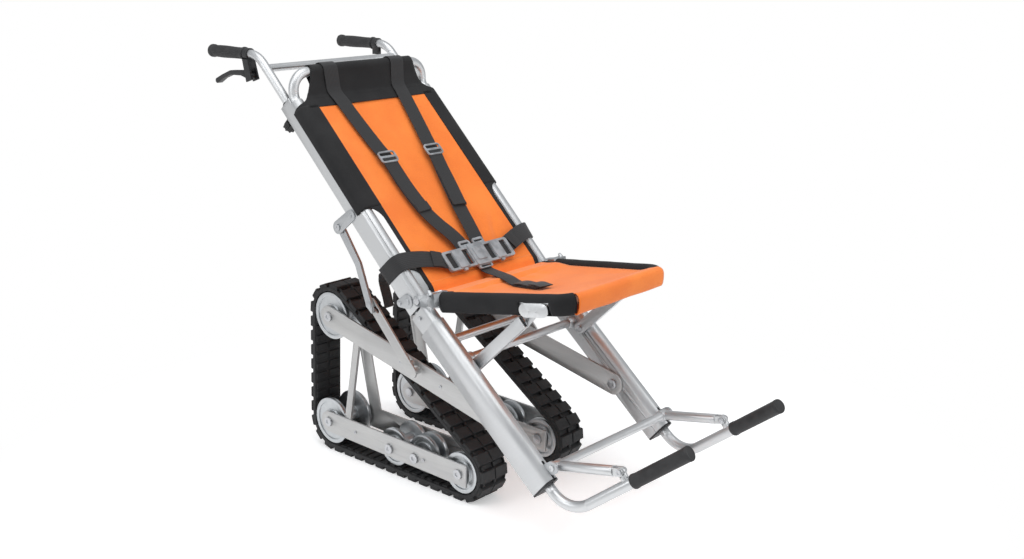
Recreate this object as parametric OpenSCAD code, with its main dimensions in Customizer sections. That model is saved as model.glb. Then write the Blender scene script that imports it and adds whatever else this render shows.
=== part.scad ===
// Tracked evacuation chair: sliding push handle, folding seat, sliding foot frame and two belt tracks.
// +Z is up, the chair faces -Y and +X is the occupant's left. Side shapes are drawn in the Y-Z plane.

/* [Frame] */
// Half distance between the centre lines of the two stiles
frame_half = 214; // [200:1:230]
// Angle of the lower stile above the floor
lower_angle = 40.8; // [38:0.1:43]
// Angle of the backrest profile above the floor
upper_angle = 45; // [43:0.1:47]
// Height of the knee, where both centre lines meet
knee_height = 460; // [450:1:475]
// Depth of the lower stile's section
lower_depth = 66; // [62:1:70]
// Width of the lower stile's section
lower_width = 38; // [36:1:40]
// Wall of the lower stile
lower_wall = 3.6; // [3:0.1:4.5]
// Distance from the knee down to the top end of the lower stile
lower_start = 50; // [40:1:60]
// Length of the lower stile
lower_length = 445; // [430:1:460]
// Depth of the backrest profile's section
upper_depth = 58; // [55:1:60]
// Width of the backrest profile's section
upper_width = 32; // [31:1:34]
// Wall of the backrest profile
upper_wall = 3.5; // [3:0.1:4]
// Length of the backrest profile, measured from the knee
upper_length = 620; // [600:1:640]

/* [Backrest loop] */
// Wall of the bent tubes
tube_wall = 2; // [1.5:0.1:2.5]
// Rise of the loop's cross tube above the top of the backrest profile
loop_rise = 66.6; // [58:0.1:86]
// Bend radius of the loop's upper corners
loop_corner_r = 42; // [38:1:44]

/* [Push handle] */
// Outer radius of the handle tube
handle_r = 11; // [10:0.1:11.3]
// Rise of the hand grips above the top of the backrest profile
handle_rise = 102.6; // [88:0.1:122]
// Bend radius of the handle tube
handle_bend_r = 70; // [60:1:80]
// Length of a hand grip
grip_length = 138; // [120:1:145]
// Radius of a hand grip
grip_r = 16.5; // [15:0.5:18]
// Length of handle tube that stays inside the profile
handle_engaged = 220; // [200:1:240]

/* [Foot frame] */
// Outer radius of the foot tube
foot_r = 12.5; // [11.5:0.1:12.6]
// Bend radius of the foot tube
foot_bend_r = 75; // [65:1:80]
// Turn of the foot tube's bend
foot_turn = 78; // [74:1:80]
// Lean of the foot tube's front end towards the middle
foot_toe_in = 7; // [0:0.5:9]
// Length of a foot grip
foot_grip_length = 155; // [140:1:165]
// Radius of the footrest cross bar
footrest_r = 10; // [9:0.5:11]

/* [Seat] */
// Angle of the seat above the floor
seat_angle = 8.4; // [5:0.1:11]
// Length of the seat's side tubes from the hinge to the front bar
seat_length = 396; // [385:1:410]
// Half width of the seat frame at the rear
seat_half_rear = 205; // [200:1:210]
// Half width of the seat frame at the front
seat_half_front = 165; // [155:1:175]
// Radius of the seat tube
seat_r = 12.5; // [11:0.5:12.5]

/* [Tracks] */
// Width of a belt
belt_width = 86; // [80:1:90]
// Thickness of the belt's carcass
belt_carcass = 13; // [12:0.5:14]
// Height of the belt's lugs
lug_height = 9; // [8:0.5:10]
// Number of lug rows round a belt
lug_count = 44; // [38:1:48]
// Radius of the two rear rollers
rear_roller_r = 60; // [57:1:62]
// Radius of the front roller
front_roller_r = 50; // [48:1:52]
// Radius of the idler wheels
idler_r = 48; // [44:1:48]
// Height of a side plate
plate_height = 55; // [50:1:58]
// Thickness of a side plate
plate_thick = 5; // [4:0.5:5]

/* [Fabric] */
// Thickness of the sling's fabric with its lining
fabric = 3.5; // [3:0.1:4]
// Width of the webbing
web_width = 44; // [40:1:48]
// Thickness of the webbing
web_thick = 2.4; // [2:0.1:3]

/* [Hidden] */
$fn = 48;
// Clearances: running fit of a shaft, free gap between bodies, gap of a piece seated on another
fit = 0.05;
gap = 0.3;
overrun = 2;
arc_steps = 20;
right_angle = 90;
full_turn = 4 * right_angle;
band_rise = 0.05;
band_length = 2;
band_slit = 0.1;
// The knee, and the point that brings the middle of the whole chair's length to the origin
knee = [0, -14, knee_height];
lower_end = lower_start + lower_length;
upper_top = knee_height + upper_length * sin(upper_angle);
loop_top_height = upper_top + loop_rise;
handle_height = upper_top + handle_rise;
groove_width = 6;
groove_depth = 1.6;
// Places on the two profiles: distance n towards the seat, and distance s or t from the knee
loop_n = upper_depth / 2 - upper_width / 2;
loop_r = upper_width / 2 - upper_wall - 2 * fit;
nose_cut = 17;
handle_n = -13.5;
handle_bush = 1;
foot_n = 5;
// Insert and knuckle
insert_gap = 3;
insert_length = 140;
spigot_length = 70;
knuckle_s = 32;
knuckle_n = -9;
knuckle_r = 17;
lobe_s = 43;
lobe_n = -32;
lobe_r = 9;
knuckle_thick = 3.5;
hinge_s = 14;
hinge_n = 20;
hinge_pin_r = 4;
insert_rivet_t = 17;
insert_rivet_n = -8;
rivet_r = 3;
rivet_head_r = 5;
rivet_head = 2;
// Outer faces of the profiles
upper_outer_x = frame_half + upper_width / 2;
upper_inner_x = frame_half - upper_width / 2;
lower_outer_x = frame_half + lower_width / 2;
lower_inner_x = frame_half - lower_width / 2;
// Seat hinge bracket
bracket_thick = 3;
bracket_r = 13;
horn_lean = 30;
horn_root_r = 6.5;
horn_tip_r = 3.25;
socket_length = 22;
socket_start = 34;
seat_tube_z = 3;
seat_corner_r = 45;
// Cross tubes between the stiles
cross_r = 10;
cross_wall = 1.8;
cross_places = [[86, -20], [151, -2]];
socket_r = 13.5;
socket_depth = 24;
// Props
prop_t = 180;
prop_n = 10;
prop_width = 12;
prop_depth = 28;
prop_length = 197;
prop_lean = 137;
prop_bolt_r = 4;
hook_at = 319;
hook_r = 6;
hook_tip = 7;
hook_thick = 3.5;
hook_lap = 1;
hook_lift = 1.8;
// Silver plates on the seat tubes
badge_r = 15.5;
badge_pitch = 44;
badge_thick = 3;
badge_y = 309;
// How far the plate's middle hangs below the tube's, and how deep it sits on the tube
badge_drop = 19;
badge_seat = 1.5;
badge_room = 1.5;
badge_rivets = [-4.5, 14.5, -3.5];
// Handle
handle_bar_r = 9.5;
handle_bar_back = 44;
perch_length = 20;
perch_r = 14.5;
perch_drop = 54;
perch_throat = 34.8;
lever_pin_r = 3;
// Places and radii along the brake lever, from its pin to the ball end
lever_blade = [[0, 0], [34, 6], [78, 4], [112, -8], [136, -20]];
lever_blade_r = [9, 6.5, 5.5, 5, 6.5];
knob_s = 582;
knob_r = 15;
knob_height = 20;
knob_stem = 9;
knob_neck_r = 10;
knob_scallops = 8;
knob_scallop_r = 5;
// Foot frame
foot_drop = 79;
ear_t = 477;
ear_n = 46;
ear_thick = 6;
ear_r = 15;
ear_slot = 45;
cap_thick = 4;
sleeve_r = 12.6;
sleeve_length = 26;
brace_r = 11.5;
brace_inset = 11.3;
fork_reach = 21.6;
clevis_along = 174.6;
clevis_up = 30;
clevis_r = 9;
clevis_thick = 8;
clevis_pin_r = 3.5;
grip_start = 190;
foot_grip_r = 16.5;
foot_inside = 250;
bush_length = 30;
// Track: places of the roller axles in the Y-Z plane
top_axle = [341, 366];
rear_axle = [356, rear_roller_r + belt_carcass + lug_height];
front_axle = [-103, front_roller_r + belt_carcass + lug_height];
idler_axle_z = idler_r + belt_carcass + lug_height;
idler_places = [131, 43];
belt_outer_x = 186;
belt_inner_x = belt_outer_x - belt_width;
outer_plate_x = lower_inner_x - gap - plate_thick;
inner_plate_x = belt_inner_x - 2 * overrun - plate_thick;
pivot_t = 336;
pivot_n = -16;
pivot_r = 6;
axle_r = 8;
axle_head_r = 12;
axle_head = 4;
disc_thick = 10;
disc_dish = 3;
hub_r = 20;
idler_discs = [8, 34];
strut_top = [244, 324];
strut_foot = [288, 104];
strut_width = 20;
strut_thick = 7;
screw_r = 4;
screw_head = 2.5;
upper_screws = [266, 402];
lower_screws = [102, 345];
// Track link
link_pin_r = 4;
dogbone_s = 286;
dogbone_n = -17;
dogbone_r = 14;
dogbone_thick = 4;
link_head_s = 293.8;
link_head_n = -74.6;
link_thick = 7;
link_half = 9.5;
link_bow = 14;
link_x = upper_outer_x - 9;
link_length = 198.4;
link_lean = 241.56;
guide_x = link_x - 7;
guide_thick = 5;
guide_r = 14;
guide_at = 327.6;
guide_up = 7.6;
slot_run = 24;
slot_lean = 213;
slot_half = 5.6;
standoff_r = 8;
// Fabric and webbing
sleeve_gap = 0.5;
back_low = 44;
back_sleeve_low = 290;
back_half_low = 186;
back_high = 598;
back_flap = 27;
top_sleeve_half = 165;
head_front = 17;
seat_rear = 26;
strap_top_x = 118;
buckle_s = 72;
buckle_n = 38;
buckle_height = 50;
buckle_thick = 14;
buckle_half = 22;
buckle_frame_width = 40;
buckle_frame_x = buckle_half + buckle_frame_width;

// Vector helpers
function unit(v) = v / norm(v);
function polar(angle, r) = [r * cos(angle), r * sin(angle)];
// A place in the Y-Z plane, given on the lower stile or on the backrest profile
function on_lower(t, n) = [
    knee[1] - n * sin(lower_angle) - t * cos(lower_angle),
    knee[2] + n * cos(lower_angle) - t * sin(lower_angle)];
function on_upper(s, n) = [
    knee[1] - n * sin(upper_angle) + s * cos(upper_angle),
    knee[2] + n * cos(upper_angle) + s * sin(upper_angle)];
function at_x(x, p) = [x, p[0], p[1]];

module both_sides() {
    children();
    mirror([1, 0, 0]) children();
}
module right_side() mirror([1, 0, 0]) children();

// Frames: local -Y looks to the seat side, local Z runs up the profile
module lower_frame() translate(knee) rotate([lower_angle - 90, 0, 0]) children();
module upper_frame() translate(knee) rotate([upper_angle - 90, 0, 0]) children();
seat_hinge = on_upper(hinge_s, hinge_n);
function on_seat(d, h) = seat_hinge + [h * sin(seat_angle) - d * cos(seat_angle),
    d * sin(seat_angle) + h * cos(seat_angle)];
module seat_frame() translate(at_x(0, seat_hinge)) rotate([-seat_angle, 0, 0]) children();

// A flat shape of the Y-Z plane, extruded along X from x
module side_plate(x, thick) translate([x, 0, 0]) rotate([90, 0, 90]) linear_extrude(thick) children();
// A round bar along X
module x_bar(x, length, p, r) translate(at_x(x, p)) rotate([0, 90, 0]) cylinder(h = length, r = r);
// Points along an arc, and outlines with rounded ends: two ends of their own radii, or one end cut square
function arc(c, r, start, end) = [for (i = [0 : arc_steps]) c + polar(start + (end - start) * i / arc_steps, r)];
module slab(a, ra, b, rb) {
    lean = atan2(b[1] - a[1], b[0] - a[0]);
    open = acos((ra - rb) / norm(b - a));
    polygon(concat(arc(a, ra, lean + open, lean + full_turn - open), arc(b, rb, lean - open, lean + open)));
}
module tongue(a, b, half) {
    lean = atan2(b[1] - a[1], b[0] - a[0]);
    tip = b + polar(lean, half - overrun);
    polygon(concat(arc(a, half, lean + right_angle, lean + 3 * right_angle),
        [tip + polar(lean - right_angle, half), tip + polar(lean + right_angle, half)]));
}
// A cylinder between two points
module rod(p, q, r) {
    v = q - p;
    translate(p) rotate([0, acos(v[2] / norm(v)), atan2(v[1], v[0])]) cylinder(h = norm(v), r = r);
}
// A straight or bent length of round tube; a wall of zero makes it solid
module ring(r, wall) difference() {
    circle(r);
    if (wall > 0) circle(r - wall);
}
// A bent tube from the origin along +Z; each step is [straight, bend radius, bend angle, roll before the bend]
// A low band closes each joint between a straight length and a bend
module band(r, wall) translate([0, 0, -band_length / 2]) linear_extrude(band_length)
    ring(r + band_rise, wall > 0 ? wall + 2 * band_rise : 0);
module tube_run(steps, r, wall, i = 0) {
    more = i < len(steps) - 1;
    start = i > 0 ? band_slit : 0;
    translate([0, 0, start]) linear_extrude(steps[i][0] - start - (more ? band_slit : 0)) ring(r, wall);
    if (i > 0) band(r, wall);
    if (more) translate([0, 0, steps[i][0]]) rotate(steps[i][3]) {
        bend = steps[i][1];
        band(r, wall);
        multmatrix([[-1, 0, 0, bend], [0, 0, 1, 0], [0, 1, 0, 0], [0, 0, 0, 1]])
            rotate_extrude(angle = steps[i][2]) translate([bend, 0]) ring(r, wall);
        translate([bend, 0, 0]) rotate([0, steps[i][2], 0]) translate([-bend, 0, 0])
            tube_run(steps, r, wall, i + 1);
    }
}
// Webbing swept along points; across holds the direction of its width at each point
module ribbon(points, across, width, thick) {
    last = len(points) - 1;
    rings = [for (i = [0 : last])
        let (ahead = points[min(i + 1, last)] - points[max(i - 1, 0)],
             side = unit(across[i]) * width / 2,
             up = unit(cross(ahead, across[i])) * thick / 2)
        [points[i] + side + up, points[i] - side + up, points[i] - side - up, points[i] + side - up]];
    polyhedron(
        points = [for (ring = rings) for (p = ring) p],
        faces = concat(
            [[0, 1, 2], [0, 2, 3]],
            [for (i = [0 : last - 1]) for (j = [0 : 3]) for (half = [0, 1])
                let (a = 4 * i + j, b = 4 * i + (j + 1) % 4)
                half == 0 ? [a, a + 4, b] : [b, a + 4, b + 4]],
            [[4 * last + 2, 4 * last + 1, 4 * last], [4 * last + 3, 4 * last + 2, 4 * last]]));
}
// A round head with a hexagon socket, facing +X at x
module socket_head(x, p, r, high) {
    difference() {
        x_bar(x, high, p, r);
        translate(at_x(x + high / 2, p)) rotate([0, 90, 0]) cylinder(h = high, r = r / 2, $fn = 6);
    }
}

// Extruded D section: a flat web at the back, a round nose on the seat side
module d_section(depth, width) {
    nose = width / 2;
    translate([0, nose - depth / 2]) circle(nose);
    translate([-nose, nose - depth / 2]) square([width, depth - nose]);
}
module hollow_section(depth, width, wall) {
    difference() {
        d_section(depth, width);
        d_section(depth - 2 * wall, width - 2 * wall);
        translate([-width / 2 - overrun, -groove_width / 2]) square([overrun + groove_depth, groove_width]);
    }
}

// Lower stile: takes the insert from above and the foot tube from below
module lower_stile() {
    difference() {
        lower_frame() difference() {
            translate([frame_half, 0, -lower_end])
                linear_extrude(lower_length) hollow_section(lower_depth, lower_width, lower_wall);
            translate([frame_half - ear_thick / 2 - gap, -lower_depth / 2 - overrun, -lower_end - overrun])
                cube([ear_thick + 2 * gap, lower_depth / 2, ear_slot + overrun]);
        }
        x_bar(lower_inner_x - overrun, lower_wall + 2 * overrun, on_lower(pivot_t, pivot_n), pivot_r + fit);
        x_bar(lower_inner_x - overrun, lower_wall + 2 * overrun, on_lower(prop_t, prop_n), prop_bolt_r + fit);
        for (place = cross_places)
            x_bar(lower_inner_x - overrun, lower_wall + overrun, on_lower(place[0], place[1]), cross_r + fit);
    }
}
module right_lower_stile() color("silver") right_side() lower_stile();
module left_lower_stile() color("silver") lower_stile();

// Backrest profile: the loop tube sits in its nose, the handle tube slides in its web
module back_profile() {
    difference() {
        upper_frame() translate([frame_half, 0, insert_gap])
            linear_extrude(upper_length - insert_gap) hollow_section(upper_depth, upper_width, upper_wall);
        upper_frame() translate([upper_inner_x - overrun, -upper_depth / 2 - overrun, upper_length - nose_cut])
            cube([upper_width + 2 * overrun, upper_depth / 2 - loop_n + 2 * overrun, nose_cut + overrun]);
        x_bar(upper_inner_x - overrun, upper_width + 2 * overrun, seat_hinge, hinge_pin_r + fit);
        upper_frame() translate([frame_half, 0, knob_s]) rotate([-90, 0, 0])
            cylinder(h = upper_depth, r = knob_stem / 2 + fit);
    }
}
module right_back_profile() color("silver") right_side() back_profile();
module left_back_profile() color("silver") back_profile();

// Insert: joins the two profiles at the knee, with two spigots up the backrest profile
module insert() {
    inner_depth = lower_depth - 2 * lower_wall;
    inner_width = lower_width - 2 * lower_wall;
    difference() {
        union() {
            lower_frame() translate([frame_half, 0, -insert_length])
                linear_extrude(insert_length - insert_gap) d_section(inner_depth, inner_width);
            upper_frame() for (n = [loop_n, handle_n])
                translate([frame_half, -n, -2 * insert_gap])
                    cylinder(h = spigot_length, r = n == loop_n ? loop_r : handle_r);
        }
        x_bar(upper_inner_x - overrun, upper_width + 2 * overrun, seat_hinge, hinge_pin_r + fit);
    }
}
module stile_inserts() color("gainsboro") both_sides() insert();

// Black cap in the lower end of the stile, open for the tube and for the ear's slot
module end_cap() {
    lower_frame() translate([frame_half, 0, -lower_end - cap_thick]) difference() {
        union() {
            linear_extrude(cap_thick - fit) d_section(lower_depth, lower_width);
            translate([0, 0, cap_thick - fit]) linear_extrude(bush_length / 2)
                d_section(lower_depth - 2 * lower_wall, lower_width - 2 * lower_wall);
        }
        translate([0, -foot_n, -overrun]) cylinder(h = bush_length + 2 * overrun, r = foot_r + fit);
        translate([-ear_thick / 2 - gap, -lower_depth / 2 - overrun, -overrun])
            cube([ear_thick + 2 * gap, lower_depth / 2, bush_length + 2 * overrun]);
    }
}
module stile_end_caps() color("dimgray") both_sides() end_cap();

// Bushes that guide the foot tubes and the handle tubes
module slide_bushes() color("dimgray") both_sides() {
    lower_frame() translate([frame_half, 0, -foot_inside - bush_length]) difference() {
        linear_extrude(bush_length) d_section(lower_depth - 2 * lower_wall, lower_width - 2 * lower_wall);
        translate([0, -foot_n, -overrun]) cylinder(h = bush_length + 2 * overrun, r = foot_r + fit);
    }
    upper_frame() translate([frame_half, -handle_n, upper_length - bush_length]) difference() {
        union() {
            cylinder(h = bush_length + cap_thick, r = handle_r + handle_bush);
            translate([0, 0, bush_length]) cylinder(h = cap_thick, r = upper_width / 2 - upper_wall / 2);
        }
        translate([0, 0, -overrun]) cylinder(h = bush_length + cap_thick + 2 * overrun, r = handle_r + fit);
        rotate([-90, 0, 0]) translate([0, knob_s - upper_length, 0]) cylinder(h = upper_depth, r = knob_stem);
    }
}

// Knuckle: disc with a rear lobe, riveted over the knee on the outer face
module knuckle_plates() color("lightgray") both_sides() {
    side_plate(upper_outer_x + gap, knuckle_thick)
        slab(on_upper(knuckle_s, knuckle_n), knuckle_r, on_upper(lobe_s, lobe_n), lobe_r);
    x_bar(upper_outer_x + gap + knuckle_thick, rivet_head, on_upper(knuckle_s, knuckle_n), knuckle_r / 2);
}

// Cross tubes between the lower stiles
module frame_cross_tubes() color("silver") for (place = cross_places) difference() {
    x_bar(-lower_inner_x - lower_wall, 2 * (lower_inner_x + lower_wall), on_lower(place[0], place[1]), cross_r);
    x_bar(-lower_inner_x - lower_wall - overrun, 2 * (lower_inner_x + lower_wall + overrun),
        on_lower(place[0], place[1]), cross_r - cross_wall);
}
module cross_tube_sockets() color("gainsboro") both_sides() for (place = cross_places) difference() {
    x_bar(lower_inner_x - socket_depth, socket_depth - fit, on_lower(place[0], place[1]), socket_r);
    x_bar(lower_inner_x - socket_depth - overrun, socket_depth + 2 * overrun,
        on_lower(place[0], place[1]), cross_r + fit);
}

// Backrest loop: rises out of both noses, stands upright at the head and crosses over
loop_knee = on_upper(upper_length - overrun, loop_n);
loop_engaged = upper_length / 4;
loop_upright = 2 * overrun;
loop_bend_r = (loop_top_height - loop_knee[1] - loop_corner_r - loop_upright) / tan(upper_angle / 2);
module backrest_loop() color("silver") both_sides()
    translate([0, loop_knee[0], loop_top_height]) rotate([0, 90, 0])
        tube_run([[frame_half - loop_corner_r, loop_corner_r, 90, 0],
            [loop_upright, loop_bend_r, upper_angle, -90], [loop_engaged]], loop_r, tube_wall);

// Rivets and bolts of the frame
module frame_rivets() color("lightgray") both_sides() {
    x_bar(upper_outer_x, rivet_head, on_lower(insert_rivet_t, insert_rivet_n), rivet_head_r);
    x_bar(upper_outer_x + gap + knuckle_thick, rivet_head, on_upper(lobe_s, lobe_n), rivet_head_r);
    x_bar(upper_inner_x - bracket_thick - 2 * gap, upper_width + 2 * bracket_thick + 4 * gap, seat_hinge, hinge_pin_r);
    x_bar(upper_inner_x - bracket_thick - 2 * gap - rivet_head, rivet_head, seat_hinge, 2 * hinge_pin_r);
    x_bar(upper_outer_x + bracket_thick + 2 * gap, rivet_head, seat_hinge, 2 * hinge_pin_r);
}

// Bolts on which the tracks pivot, through the inner wall of the lower stiles
module track_pivot_bolts() color("lightgray") both_sides() {
    x_bar(outer_plate_x - gap, plate_thick + lower_wall + 2 * gap, on_lower(pivot_t, pivot_n), pivot_r);
    x_bar(outer_plate_x - gap - axle_head, axle_head, on_lower(pivot_t, pivot_n), axle_head_r);
    x_bar(lower_inner_x + lower_wall + gap, axle_head, on_lower(pivot_t, pivot_n), axle_head_r - overrun);
}

// Dog-bone plates that carry the heads of the track links
link_head = on_upper(link_head_s, link_head_n);
module link_brackets() color("lightgray") both_sides() difference() {
    union() {
        side_plate(upper_outer_x + fit, dogbone_thick)
            slab(on_upper(dogbone_s, dogbone_n), dogbone_r, link_head, dogbone_r + overrun);
        x_bar(upper_outer_x + dogbone_thick + fit, rivet_head, on_upper(dogbone_s, dogbone_n), rivet_head_r);
    }
    x_bar(upper_outer_x - overrun, dogbone_thick + 2 * overrun, link_head, link_pin_r + fit);
}
module link_pivot_pins() color("gainsboro") both_sides() {
    x_bar(link_x - rivet_head, upper_outer_x + dogbone_thick - link_x + rivet_head + gap, link_head, link_pin_r);
    x_bar(link_x - gap - rivet_head, rivet_head, link_head, 2 * link_pin_r);
    socket_head(upper_outer_x + dogbone_thick + gap, link_head, 2 * link_pin_r, rivet_head);
}

// Push handle: two bent tubes and a cross bar, welded
handle_end = on_upper(upper_length - handle_engaged, handle_n);
handle_corner = [handle_end[0] + (handle_height - handle_end[1]) / tan(upper_angle), handle_height];
handle_tip_y = handle_corner[0] + handle_bend_r * tan(upper_angle / 2) + grip_length + perch_length
    - overrun;
bar_place = handle_corner - handle_bar_back * [cos(upper_angle), sin(upper_angle)];
handle_straight = norm(handle_corner - handle_end) - handle_bend_r * tan(upper_angle / 2);
module push_handle() color("silver") {
    both_sides() translate(at_x(frame_half, handle_end)) rotate([-upper_angle, 0, 0]) rotate(-90)
        tube_run([[handle_straight, handle_bend_r, 90 - upper_angle, 180],
            [grip_length + perch_length - overrun]], handle_r, tube_wall);
    difference() {
        x_bar(-frame_half, 2 * frame_half, bar_place, handle_bar_r);
        x_bar(-frame_half, 2 * frame_half, bar_place, handle_bar_r - tube_wall);
        both_sides() rod(at_x(frame_half, handle_end), at_x(frame_half, handle_corner), handle_r - tube_wall / 2);
    }
}
grip_front_y = handle_tip_y - grip_length + overrun;
// One hand grip: waisted rubber with an end flange
module push_grips() color("dimgray") both_sides()
    translate([frame_half, grip_front_y, handle_height]) rotate([-90, 0, 0]) difference() {
        union() {
            cylinder(h = grip_length, r = grip_r - overrun);
            cylinder(h = grip_r / 2, r = grip_r);
            translate([0, 0, grip_length - grip_r / 2]) cylinder(h = grip_r / 2, r = grip_r);
        }
        translate([0, 0, -overrun]) cylinder(h = grip_length + fit, r = handle_r + fit);
    }

// Collars round the handle tube just ahead of the grips: brake perch on the right, plain collar on the left
module perch_ring() translate([frame_half, grip_front_y - perch_length - fit, handle_height])
    rotate([-90, 0, 0]) difference() {
        cylinder(h = perch_length, r = perch_r);
        translate([0, 0, -overrun]) cylinder(h = perch_length + 2 * overrun, r = handle_r + 2 * fit);
    }
module handle_collar() color("dimgray") {
    perch_ring();
    translate([frame_half - perch_r / 2, grip_front_y - perch_length - fit, handle_height - 2 * perch_r])
        cube([perch_r, perch_length, perch_r + overrun]);
}
lever_pin = [grip_front_y - perch_length, handle_height - perch_drop];
module brake_perch() color("dimgray") right_side() {
    perch_ring();
    difference() {
        side_plate(frame_half - perch_r + overrun, 2 * (perch_r - overrun)) polygon([
            [grip_front_y - fit, handle_height - perch_r + overrun],
            [grip_front_y - perch_length - fit, handle_height - perch_r + overrun],
            lever_pin + [-perch_r, -perch_r / 2], lever_pin + [perch_r / 2, -perch_r]]);
        side_plate(frame_half - perch_r / 2 - gap, perch_r + 2 * gap) polygon([
            [grip_front_y + overrun, handle_height - 2 * perch_r],
            [lever_pin[0] - perch_r, handle_height - perch_throat],
            lever_pin + [-2 * perch_r, -2 * perch_r], lever_pin + [2 * perch_r, -2 * perch_r]]);
    }
    x_bar(frame_half - perch_r + overrun, 2 * (perch_r - overrun), lever_pin, lever_pin_r);
}
// Brake lever: a curved blade with a ball end, below the grip
module brake_lever() color("dimgray") right_side() difference() {
    side_plate(frame_half - perch_r / 2, perch_r) for (i = [0 : len(lever_blade) - 2])
        slab(lever_pin + lever_blade[i], lever_blade_r[i], lever_pin + lever_blade[i + 1], lever_blade_r[i + 1]);
    x_bar(frame_half - perch_r, 2 * perch_r, lever_pin, lever_pin_r + fit);
}

// Clamp knob behind the top of the backrest profile, with its screw and shoe
module clamp_knob() upper_frame() translate([frame_half, 0, knob_s]) rotate([-90, 0, 0]) {
    difference() {
        translate([0, 0, upper_depth / 2 + knob_stem]) cylinder(h = knob_height, r = knob_r);
        for (i = [0 : knob_scallops - 1]) rotate(i * full_turn / knob_scallops)
            translate([knob_r + overrun, 0, 0]) cylinder(h = upper_depth + knob_height, r = knob_scallop_r);
    }
    translate([0, 0, upper_depth / 2 + gap]) cylinder(h = knob_stem, r = knob_neck_r);
    translate([0, 0, -handle_n + handle_r + gap])
        cylinder(h = upper_depth / 2 + handle_n - handle_r + knob_stem, r = knob_stem / 2);
}
module right_clamp_knob() color("dimgray") right_side() clamp_knob();
module left_clamp_knob() color("dimgray") clamp_knob();

// Seat tube: one U, narrower at the front
seat_start = socket_start + socket_length / 2;
function seat_x(y) = seat_half_rear
    - (seat_half_rear - seat_half_front) * (y - socket_start) / (seat_length - socket_start);
seat_lean = atan((seat_half_rear - seat_half_front) / (seat_length - socket_start));
seat_side = norm([seat_x(seat_start) - seat_half_front, seat_length - seat_start]);
seat_cut = seat_corner_r * tan(45 - seat_lean / 2);
module half_seat_run(r, wall, shorter) translate([0, -seat_length, seat_tube_z]) rotate([0, 90, 0])
    tube_run([[seat_half_front - seat_cut, seat_corner_r, 90 - seat_lean, 90],
        [seat_side - seat_cut - shorter]], r, wall);
module seat_tube() color("silver") seat_frame() both_sides() half_seat_run(seat_r, tube_wall, 0);

// Seat brackets: two cheeks on the hinge pin and the socket of the seat tube
module seat_brackets() color("lightgray") both_sides() {
    socket_end = [socket_start, seat_tube_z];
    socket_x = seat_x(seat_start) - seat_r - bracket_thick;
    seat_frame() difference() {
        union() {
            side_plate(upper_outer_x + gap, bracket_thick)
                slab([0, 0], bracket_r, [-socket_start - socket_length / 2, seat_tube_z], bracket_r);
            side_plate(upper_inner_x - gap - bracket_thick, bracket_thick)
                slab([0, 0], bracket_r, [-socket_start - socket_length / 2, seat_tube_z], bracket_r);
            translate([socket_x, -socket_end[0] - socket_length, seat_tube_z - bracket_r - overrun])
                cube([upper_outer_x + gap + bracket_thick - socket_x, socket_length, 2 * (bracket_r + overrun)]);
            translate([upper_outer_x, -socket_end[0] - socket_length / 2, seat_tube_z + bracket_r - overrun])
                rotate([-horn_lean, 0, 0]) cylinder(h = bracket_r, r1 = horn_root_r, r2 = horn_tip_r);
        }
        x_bar(upper_inner_x - 2 * bracket_thick, upper_width + 4 * bracket_thick, [0, 0], hinge_pin_r + fit);
        rod([seat_x(seat_start - fit), -seat_start + fit, seat_tube_z],
            [seat_half_front, -seat_length, seat_tube_z], seat_r + fit);
    }
}

// Rounded side plates with two rivets, where the props hook on
module seat_side_plates() color("whitesmoke") both_sides() seat_frame() difference() {
    plate_x = seat_x(badge_y) + (seat_r - badge_seat) / cos(seat_lean);
    translate([plate_x, -badge_y, seat_tube_z - badge_drop]) rotate([0, 0, -seat_lean]) {
        side_plate(0, badge_thick)
            slab([-badge_pitch / 2, 0], badge_r, [badge_pitch / 2, 0], badge_r);
        for (i = [0, 1]) x_bar(badge_thick, rivet_head / 2, [badge_rivets[i], badge_rivets[2]], rivet_r);
    }
    rod([seat_x(seat_start), -seat_start, seat_tube_z], [seat_half_front, -seat_length, seat_tube_z], seat_r + fit);
}

// Props: flat tubes from the lower stile up to the seat, with hooks on top
prop_foot = on_lower(prop_t, prop_n);
prop_x = lower_inner_x - gap - prop_width;
module seat_props() color("silver") both_sides() difference() {
    union() {
        side_plate(prop_x, prop_width)
            tongue(prop_foot, prop_foot + polar(prop_lean, prop_length - prop_depth / 2), prop_depth / 2);
        side_plate(prop_x + hook_lap - hook_thick, hook_thick) slab(prop_foot + polar(prop_lean, prop_length - hook_r)
            - polar(prop_lean - right_angle, prop_depth / 2 - hook_r), hook_r,
            on_seat(hook_at, seat_tube_z - seat_r - hook_tip + hook_lift), hook_tip);
    }
    side_plate(prop_x + tube_wall, prop_width - 2 * tube_wall) translate(prop_foot) rotate(prop_lean)
        translate([prop_depth, tube_wall - prop_depth / 2])
            square([prop_length - prop_depth + overrun, prop_depth - 2 * tube_wall]);
    x_bar(prop_x - overrun, prop_width + 2 * overrun, prop_foot, prop_bolt_r + fit);
}
module prop_bolts() color("lightgray") both_sides() {
    x_bar(prop_x - gap, prop_width + lower_wall + 2 * gap, prop_foot, prop_bolt_r);
    x_bar(prop_x - gap - rivet_head, rivet_head, prop_foot, 2 * prop_bolt_r);
    x_bar(lower_inner_x + lower_wall + gap, rivet_head, prop_foot, prop_bolt_r + overrun);
}

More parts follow.
